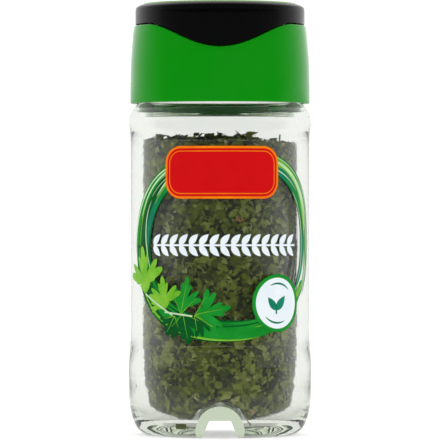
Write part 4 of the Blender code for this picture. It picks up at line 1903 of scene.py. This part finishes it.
@dataclass(frozen=True)
class Seam:
    """The line between collar and lid, which dips at the front."""

    level: float = 0.1074
    gap: float = 0.0003
    depth: float = 0.0062
    half_angle: float = math.radians(58)

    def dip(self, angle: float) -> float:
        """How far the seam lies below its level at this angle from the front."""
        if abs(angle) >= self.half_angle:
            return 0.0
        return self.depth / 2 * (1 + math.cos(math.pi * angle / self.half_angle))


SEAM = Seam()


@dataclass(frozen=True)
class Hinge:
    """The pin hinge at the back of the closure, on the axis that the lid flips about."""

    y: float
    z: float
    ear_radius: float = 0.0015
    ear_half: float = 0.0012  # half the depth of the block under an ear
    bore: float = 0.0009
    ear_near: float = 0.0054
    ear_far: float = 0.0080
    knuckle_radius: float = 0.0013
    knuckle_half: float = 0.0050
    stub_radius: float = 0.0006
    stub_half: float = 0.0076

    @classmethod
    def of(cls, frame: dict) -> Hinge:
        """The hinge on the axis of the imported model's lid joint."""
        joint = next(j for j in frame["joints"] if j["name"] == "lid_flip")
        return cls(y=joint["pos_m"][1], z=joint["pos_m"][2])

    def line(self, x: float) -> Vector:
        """A point on the hinge's axis."""
        return Vector((x, self.y, self.z))

    def along(self, radius: float, near: float, far: float) -> BMesh:
        """A cylinder on the hinge's axis between two places across."""
        return rod(radius, self.line(near), self.line(far), segments=64)


BEHIND = 0.030  # further back than anything in the closure


@dataclass(frozen=True)
class ScrewCollar:
    """The green collar: barrelled outer wall, threaded skirt, deck and turret, with two hinge ears."""

    hinge: Hinge
    steps: int = 288
    deck_low: float = 0.0984
    deck_top: float = 0.0999
    outer_wall: float = 0.0200  # the outer wall lies outside this radius
    thread: Thread = Thread(bead=0.00085, radius=0.0200, start_z=0.08975, turns=1.0, start_angle=math.pi / 2)
    notch_half: float = 0.0083
    notch_front: float = 0.0193
    notch_z: float = 0.1036
    bore_half: float = 0.012

    def outline(self) -> list[Corner]:
        """The collar's section.

        Returns:
            Its corners as a loop, from the outer wall's top.
        """
        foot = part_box("screw_collar")[0][2]
        top = SEAM.level
        return [
            Corner(0.02255, top, 0.0003),
            Corner(0.0229, 0.1050, 0.0010),
            Corner(0.0234, 0.0985, 0.0020),
            Corner(0.02355, 0.0930, 0.0020),
            Corner(0.0236, foot, 0.0003),
            Corner(0.0223, foot, 0.0002),
            Corner(0.0219, self.deck_low, 0.0003),
            Corner(0.0212, self.deck_low, 0.0003),
            Corner(0.0210, 0.0885, 0.0002),
            Corner(0.0198, 0.0885, 0.0003),
            Corner(0.0198, self.deck_low, 0.0003),
            Corner(0.0165, self.deck_low, 0.0003),
            Corner(0.0165, 0.1028, 0.0002),
            Corner(0.0150, 0.1028, 0.0002),
            Corner(0.0150, 0.1040, 0.0002),
            Corner(0.0165, 0.1040),
            Corner(0.0165, 0.1055, 0.0003),
            Corner(0.0179, 0.1055, 0.0005),
            Corner(0.0179, self.deck_top, 0.0004),
            Corner(0.0214, self.deck_top, 0.0004),
            Corner(0.0210, top, 0.0003),
        ]

    def build(self) -> None:
        """Builds the collar."""
        shape = turned(self.outline(), self.steps, closed=True, rounding=4)
        for vertex in shape.verts:
            if vertex.co.z > self.deck_top and vertex.co.xy.length > self.outer_wall:
                share = (vertex.co.z - self.deck_top) / (SEAM.level - self.deck_top)
                vertex.co.z -= SEAM.dip(front_angle(vertex.co)) * share
        notch = block((-self.notch_half, self.notch_front, self.notch_z), (self.notch_half, BEHIND, 0.1150))
        shape = combined(shape, Join.CUT, [notch])
        hinge = self.hinge
        axis = hinge.line(0)
        additions = [self.thread.shape()]
        for side in (-1, 1):
            near, far = sorted((side * hinge.ear_near, side * hinge.ear_far))
            foot = (near, axis.y - hinge.ear_half, self.notch_z - hinge.ear_half)
            additions.append(block(foot, (far, axis.y + hinge.ear_half, axis.z)))
            additions.append(hinge.along(hinge.ear_radius, near, far))
        shape = combined(shape, Join.ADD, additions)
        shape = combined(shape, Join.CUT, [hinge.along(hinge.bore, -self.bore_half, self.bore_half)])
        finished("collar_shell", shape, GREEN, Body.CAP, ["screw_collar"])


@dataclass(frozen=True)
class Sifter:
    """The disc with pouring holes that drops on the turret's ledge."""

    hole_radius: float = 0.0032
    ring_radius: float = 0.0102
    ring_holes: int = 6
    soft: float = 0.0002

    def build(self) -> None:
        """Builds the sifter."""
        low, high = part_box("sifter")
        corners = [
            Corner(0, high[2]),
            Corner(high[0], high[2], self.soft),
            Corner(high[0], low[2], self.soft),
            Corner(0, low[2]),
        ]
        centres = [Vector((0, 0, 0))]
        for i in range(self.ring_holes):
            angle = FULL_TURN * (i + 0.5) / self.ring_holes
            centres.append(Vector((math.cos(angle), math.sin(angle), 0)) * self.ring_radius)
        below, above = Vector((0, 0, low[2] - 0.002)), Vector((0, 0, high[2] + 0.002))
        holes = [rod(self.hole_radius, centre + below, centre + above, segments=64) for centre in centres]
        shape = combined(turned(corners, 192, rounding=3), Join.CUT, holes)
        rims = [e for e in shape.edges if len(e.link_faces) == 2 and e.calc_face_angle() > 1.2]
        bevel_edges(shape, rims, self.soft, segments=2)
        finished("sifter_disc", shape, GREEN, Body.CAP, ["sifter"], crease=20)


@dataclass(frozen=True)
class FlipLid:
    """The black lid: dipping front edge, thumb scoop under the rim, seal ring and hinge knuckle."""

    hinge: Hinge
    steps: int = 288
    radius: float = 0.02225
    wall: float = 0.0014
    wall_rows: int = 20
    roof_z: float = 0.1106
    ring_foot: float = 0.1058  # the seal ring that rests round the turret's rim
    ring_outer: float = 0.0175
    ring_inner: float = 0.0163
    lip_z: float = 0.1109
    scoop_low: float = 0.1040
    scoop_depth: float = 0.0005
    lip_undercut: float = 0.0005
    undercut_low: float = 0.0008  # how far below the lip its undercut begins
    undercut_full: float = 0.0003  # and where it is at its full depth
    scoop_half_angle: float = math.radians(44)
    notch_half: float = 0.0084
    notch_front: float = 0.0180
    notch_z: float = 0.1090
    web_half: float = 0.0048  # the web that joins the knuckle to the lid
    web_front: float = 0.0003
    web_back: float = 0.0010
    web_top: float = 0.1100

    def outline(self) -> list[Corner]:
        """The lid's section.

        Returns:
            Its corners, from the middle of the top's pocket down the outside and back under the roof.
        """
        radius, rim = self.radius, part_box("flip_lid")[1][2]
        foot = SEAM.level + SEAM.gap
        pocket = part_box("lid_disc")[0][2] - SEAM.gap
        pocket_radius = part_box("lid_disc")[1][0] + 0.0003
        inside = radius - self.wall
        rows = [
            Corner(radius, self.lip_z + (foot - self.lip_z) * i / self.wall_rows)
            for i in range(self.wall_rows)
        ]
        return [
            Corner(0, pocket),
            Corner(pocket_radius, pocket),
            Corner(pocket_radius, rim, 0.0002),
            Corner(0.0209, rim, 0.0003),
            Corner(radius - 0.0001, 0.1122, 0.0004),
            Corner(radius, self.lip_z + 0.00004),
            *rows,
            Corner(radius, foot, 0.0002),
            Corner(inside, foot, 0.0002),
            Corner(inside, self.roof_z, 0.0004),
            Corner(self.ring_outer, self.roof_z, 0.0003),
            Corner(self.ring_outer, self.ring_foot, 0.0003),
            Corner(self.ring_inner, self.ring_foot, 0.0003),
            Corner(self.ring_inner, self.roof_z, 0.0003),
            Corner(0, self.roof_z),
        ]

    def shape_front(self, shape: BMesh) -> None:
        """Pulls the lower edge down along the seam, and hollows the wall for the thumb.

        Args:
            shape: The turned lid, changed here.
        """
        foot = SEAM.level + SEAM.gap
        radius = self.radius
        undercut_low = self.lip_z - self.undercut_low
        undercut_full = self.lip_z - self.undercut_full
        for vertex in shape.verts:
            angle = front_angle(vertex.co)
            reach = vertex.co.xy.length
            on_wall = reach > radius - self.wall - WELD
            if on_wall and vertex.co.z < self.lip_z:
                vertex.co.z -= SEAM.dip(angle) * (self.lip_z - vertex.co.z) / (self.lip_z - foot)
            if reach > radius - WELD and vertex.co.z <= self.lip_z + WELD:
                share = math.cos(math.pi / 2 * min(abs(angle) / self.scoop_half_angle, 1.0))
                hollow = ramp(self.scoop_low, self.lip_z, vertex.co.z) * self.scoop_depth
                under_lip = ramp(undercut_low, undercut_full, vertex.co.z) * self.lip_undercut
                vertex.co.xy *= 1 - (hollow + under_lip) * share / reach

    def build(self) -> None:
        """Builds the lid."""
        shape = turned(self.outline(), self.steps, rounding=4)
        self.shape_front(shape)
        notch = block((-self.notch_half, self.notch_front, 0.0960), (self.notch_half, BEHIND, self.notch_z))
        shape = combined(shape, Join.CUT, [notch])
        hinge = self.hinge
        axis = hinge.line(0)
        web = block(
            (-self.web_half, axis.y - self.web_front, axis.z),
            (self.web_half, axis.y + self.web_back, self.web_top),
        )
        parts = [
            web,
            hinge.along(hinge.knuckle_radius, -hinge.knuckle_half, hinge.knuckle_half),
            hinge.along(hinge.stub_radius, -hinge.stub_half, hinge.stub_half),
        ]
        shape = combined(shape, Join.ADD, parts)
        finished("lid_shell", shape, BLACK, Body.LID, ["flip_lid"], crease=28)


@dataclass(frozen=True)
class LidDisc:
    """The light green disc in the lid's top, with a fine ring and its gate mark."""

    soft: float = 0.00025
    gate_depth: float = 0.00012
    ring_depth: float = 0.00018

    def build(self) -> None:
        """Builds the disc."""
        low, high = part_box("lid_disc")
        radius, top = high[0], high[2]
        corners = [
            Corner(0, top - self.gate_depth),
            Corner(0.0009, top - self.gate_depth, 0.0001),
            Corner(0.0012, top, 0.0001),
            Corner(0.0176, top, 0.0001),
            Corner(0.0178, top - self.ring_depth, 0.0001),
            Corner(0.0182, top - self.ring_depth, 0.0001),
            Corner(0.0184, top, 0.0001),
            Corner(radius, top, self.soft),
            Corner(radius, low[2], 0.0001),
            Corner(0, low[2]),
        ]
        finished("top_disc", turned(corners, 256, rounding=3), DISC, Body.LID, ["lid_disc"])


@dataclass(frozen=True)
class SealLiner:
    """The foam ring that the collar presses on the jar's mouth."""

    soft: float = 0.00015
    inner: float = 0.0159

    def build(self) -> None:
        """Builds the liner."""
        low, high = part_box("seal_liner")
        outer, inner = high[0], self.inner
        loop = [(outer, high[2]), (outer, low[2]), (inner, low[2]), (inner, high[2])]
        corners = [Corner(r, z, self.soft) for r, z in loop]
        shape = turned(corners, 192, closed=True, rounding=3)
        finished("foam_ring", shape, FOAM, Body.LINER, ["seal_liner"])


# ---------------------------------------------------------------- studio


@dataclass(frozen=True)
class Fade:
    """A brightness of the surround that changes from its front to its back."""

    low: float  # the heading's Y, from -1 at the front, where it starts to change
    high: float
    front: float
    back: float


@dataclass(frozen=True)
class Studio:
    """White floor and surround, soft even light, and the camera."""

    distance: float = 1.10
    eye_z: float = 0.0564
    lens: float = 342.0
    white: float = 1.1  # as the camera sees it
    through_glass: float = 0.98
    lighting: Fade = Fade(-1.0, 1.0, 0.92, 1.16)  # what lights dull surfaces
    mirrored: Fade = Fade(-0.42, 0.80, 0.0, 1.6)  # what plastic mirrors
    inside_glass: Fade = Fade(-1.0, 0.1, 0.05, 0.98)  # what glass mirrors
    least_inside: Fade = Fade(-0.97, -0.45, 0.0, 0.60)  # the least that is mirrored inside glass
    downwards: Fade = Fade(0.20, 0.75, 0.1, 0.98)  # what glass mirrors by how far down a ray heads

    def world(self) -> None:
        """A white surround.

        What is mirrored in plastic or glass is dark towards the camera's side, as a studio is. What is seen
        straight through glass is white.
        """
        world = bpy.data.worlds.new("studio")
        bpy.context.scene.world = world
        world.use_nodes = True
        world.cycles.sampling_method = "NONE"
        world.node_tree.nodes.clear()
        wiring = Wiring(world.node_tree)
        heading = wiring.add("TexCoord").outputs["Generated"]
        parts = wiring.add("SeparateXYZ", {0: heading})
        path = wiring.add("LightPath")

        def fading(value: bpy.types.NodeSocket, fade: Fade, **settings: object) -> bpy.types.NodeSocket:
            """Brightness that follows a fade along one value."""
            limits = {"From Min": fade.low, "From Max": fade.high, "To Min": fade.front, "To Max": fade.back}
            return wiring.add("MapRange", {"Value": value, **limits}, **settings).outputs[0]

        def across(fade: Fade) -> bpy.types.NodeSocket:
            """Brightness that goes smoothly from the front's to the back's."""
            return fading(parts.outputs[1], fade, interpolation_type="SMOOTHSTEP")

        def choose(switch: bpy.types.NodeSocket, no: object, yes: object) -> bpy.types.NodeSocket:
            """One value or another."""
            return wiring.add("Mix", {0: switch, 2: no, 3: yes}).outputs[0]

        def joined(operation: str, first: object, second: object) -> bpy.types.NodeSocket:
            """Two values in one sum."""
            return wiring.add("Math", {0: first, 1: second}, operation=operation).outputs[0]

        def whether(depth: str) -> bpy.types.NodeSocket:
            """1 for a ray that has had any bounce of a kind, else 0."""
            return wiring.add("Clamp", {0: path.outputs[depth]}).outputs[0]

        tilt = joined("MULTIPLY", parts.outputs[2], -1.0)
        shaded = joined("MAXIMUM", across(self.inside_glass), fading(tilt, self.downwards))
        least = joined("MULTIPLY", whether("Transmission Depth"), across(self.least_inside))
        in_glass = choose(whether("Glossy Depth"), self.through_glass, joined("MAXIMUM", shaded, least))
        light = choose(path.outputs["Is Glossy Ray"], self.white, across(self.mirrored))
        light = choose(path.outputs["Is Singular Ray"], light, in_glass)
        light = choose(whether("Diffuse Depth"), light, across(self.lighting))
        light = choose(path.outputs["Is Camera Ray"], light, self.white)
        glow = wiring.add("Background", {"Color": (1, 1, 1, 1), "Strength": light})
        output = wiring.add("OutputWorld")
        wiring.tree.links.new(glow.outputs[0], output.inputs[0])

    def floor(self) -> None:
        """A plain white floor that glows a little, so that it stays pale under the jar."""
        shape = bmesh.new()
        bmesh.ops.create_grid(shape, x_segments=1, y_segments=1, size=4.0)
        mesh = bpy.data.meshes.new("floor")
        shape.to_mesh(mesh)
        shape.free()
        mesh.materials.append(StudioFloor().material())
        floor = bpy.data.objects.new("floor", mesh)
        bpy.context.scene.collection.objects.link(floor)

    def camera(self) -> None:
        """A level camera in front of the jar, with a long lens."""
        camera = bpy.data.cameras.new("camera")
        camera.lens = self.lens
        camera.clip_start = 0.01
        eye = bpy.data.objects.new("camera", camera)
        eye.location = (0, -self.distance, self.eye_z)
        eye.rotation_euler = (math.pi / 2, 0, 0)
        bpy.context.scene.collection.objects.link(eye)
        bpy.context.scene.camera = eye

    def build(self) -> None:
        """Sets up the studio."""
        scene = bpy.context.scene
        scene.view_settings.view_transform = "Standard"
        scene.cycles.max_bounces = 24
        scene.cycles.transmission_bounces = 24
        scene.cycles.glossy_bounces = 12
        scene.cycles.transparent_max_bounces = 24
        self.world()
        self.floor()
        self.camera()


def main() -> None:
    """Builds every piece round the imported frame."""
    logging.basicConfig(level=logging.INFO, format="%(name)s %(message)s")
    hinge = Hinge.of(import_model())
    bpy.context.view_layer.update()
    Studio().build()
    GlassJar().build()
    DriedLeafFill().build()
    StandingPieces().build()
    FrontLabel().build()
    BackLabel().build()
    SealLiner().build()
    ScrewCollar(hinge).build()
    Sifter().build()
    FlipLid(hinge).build()
    LidDisc().build()


if __name__ == "__main__":
    main()
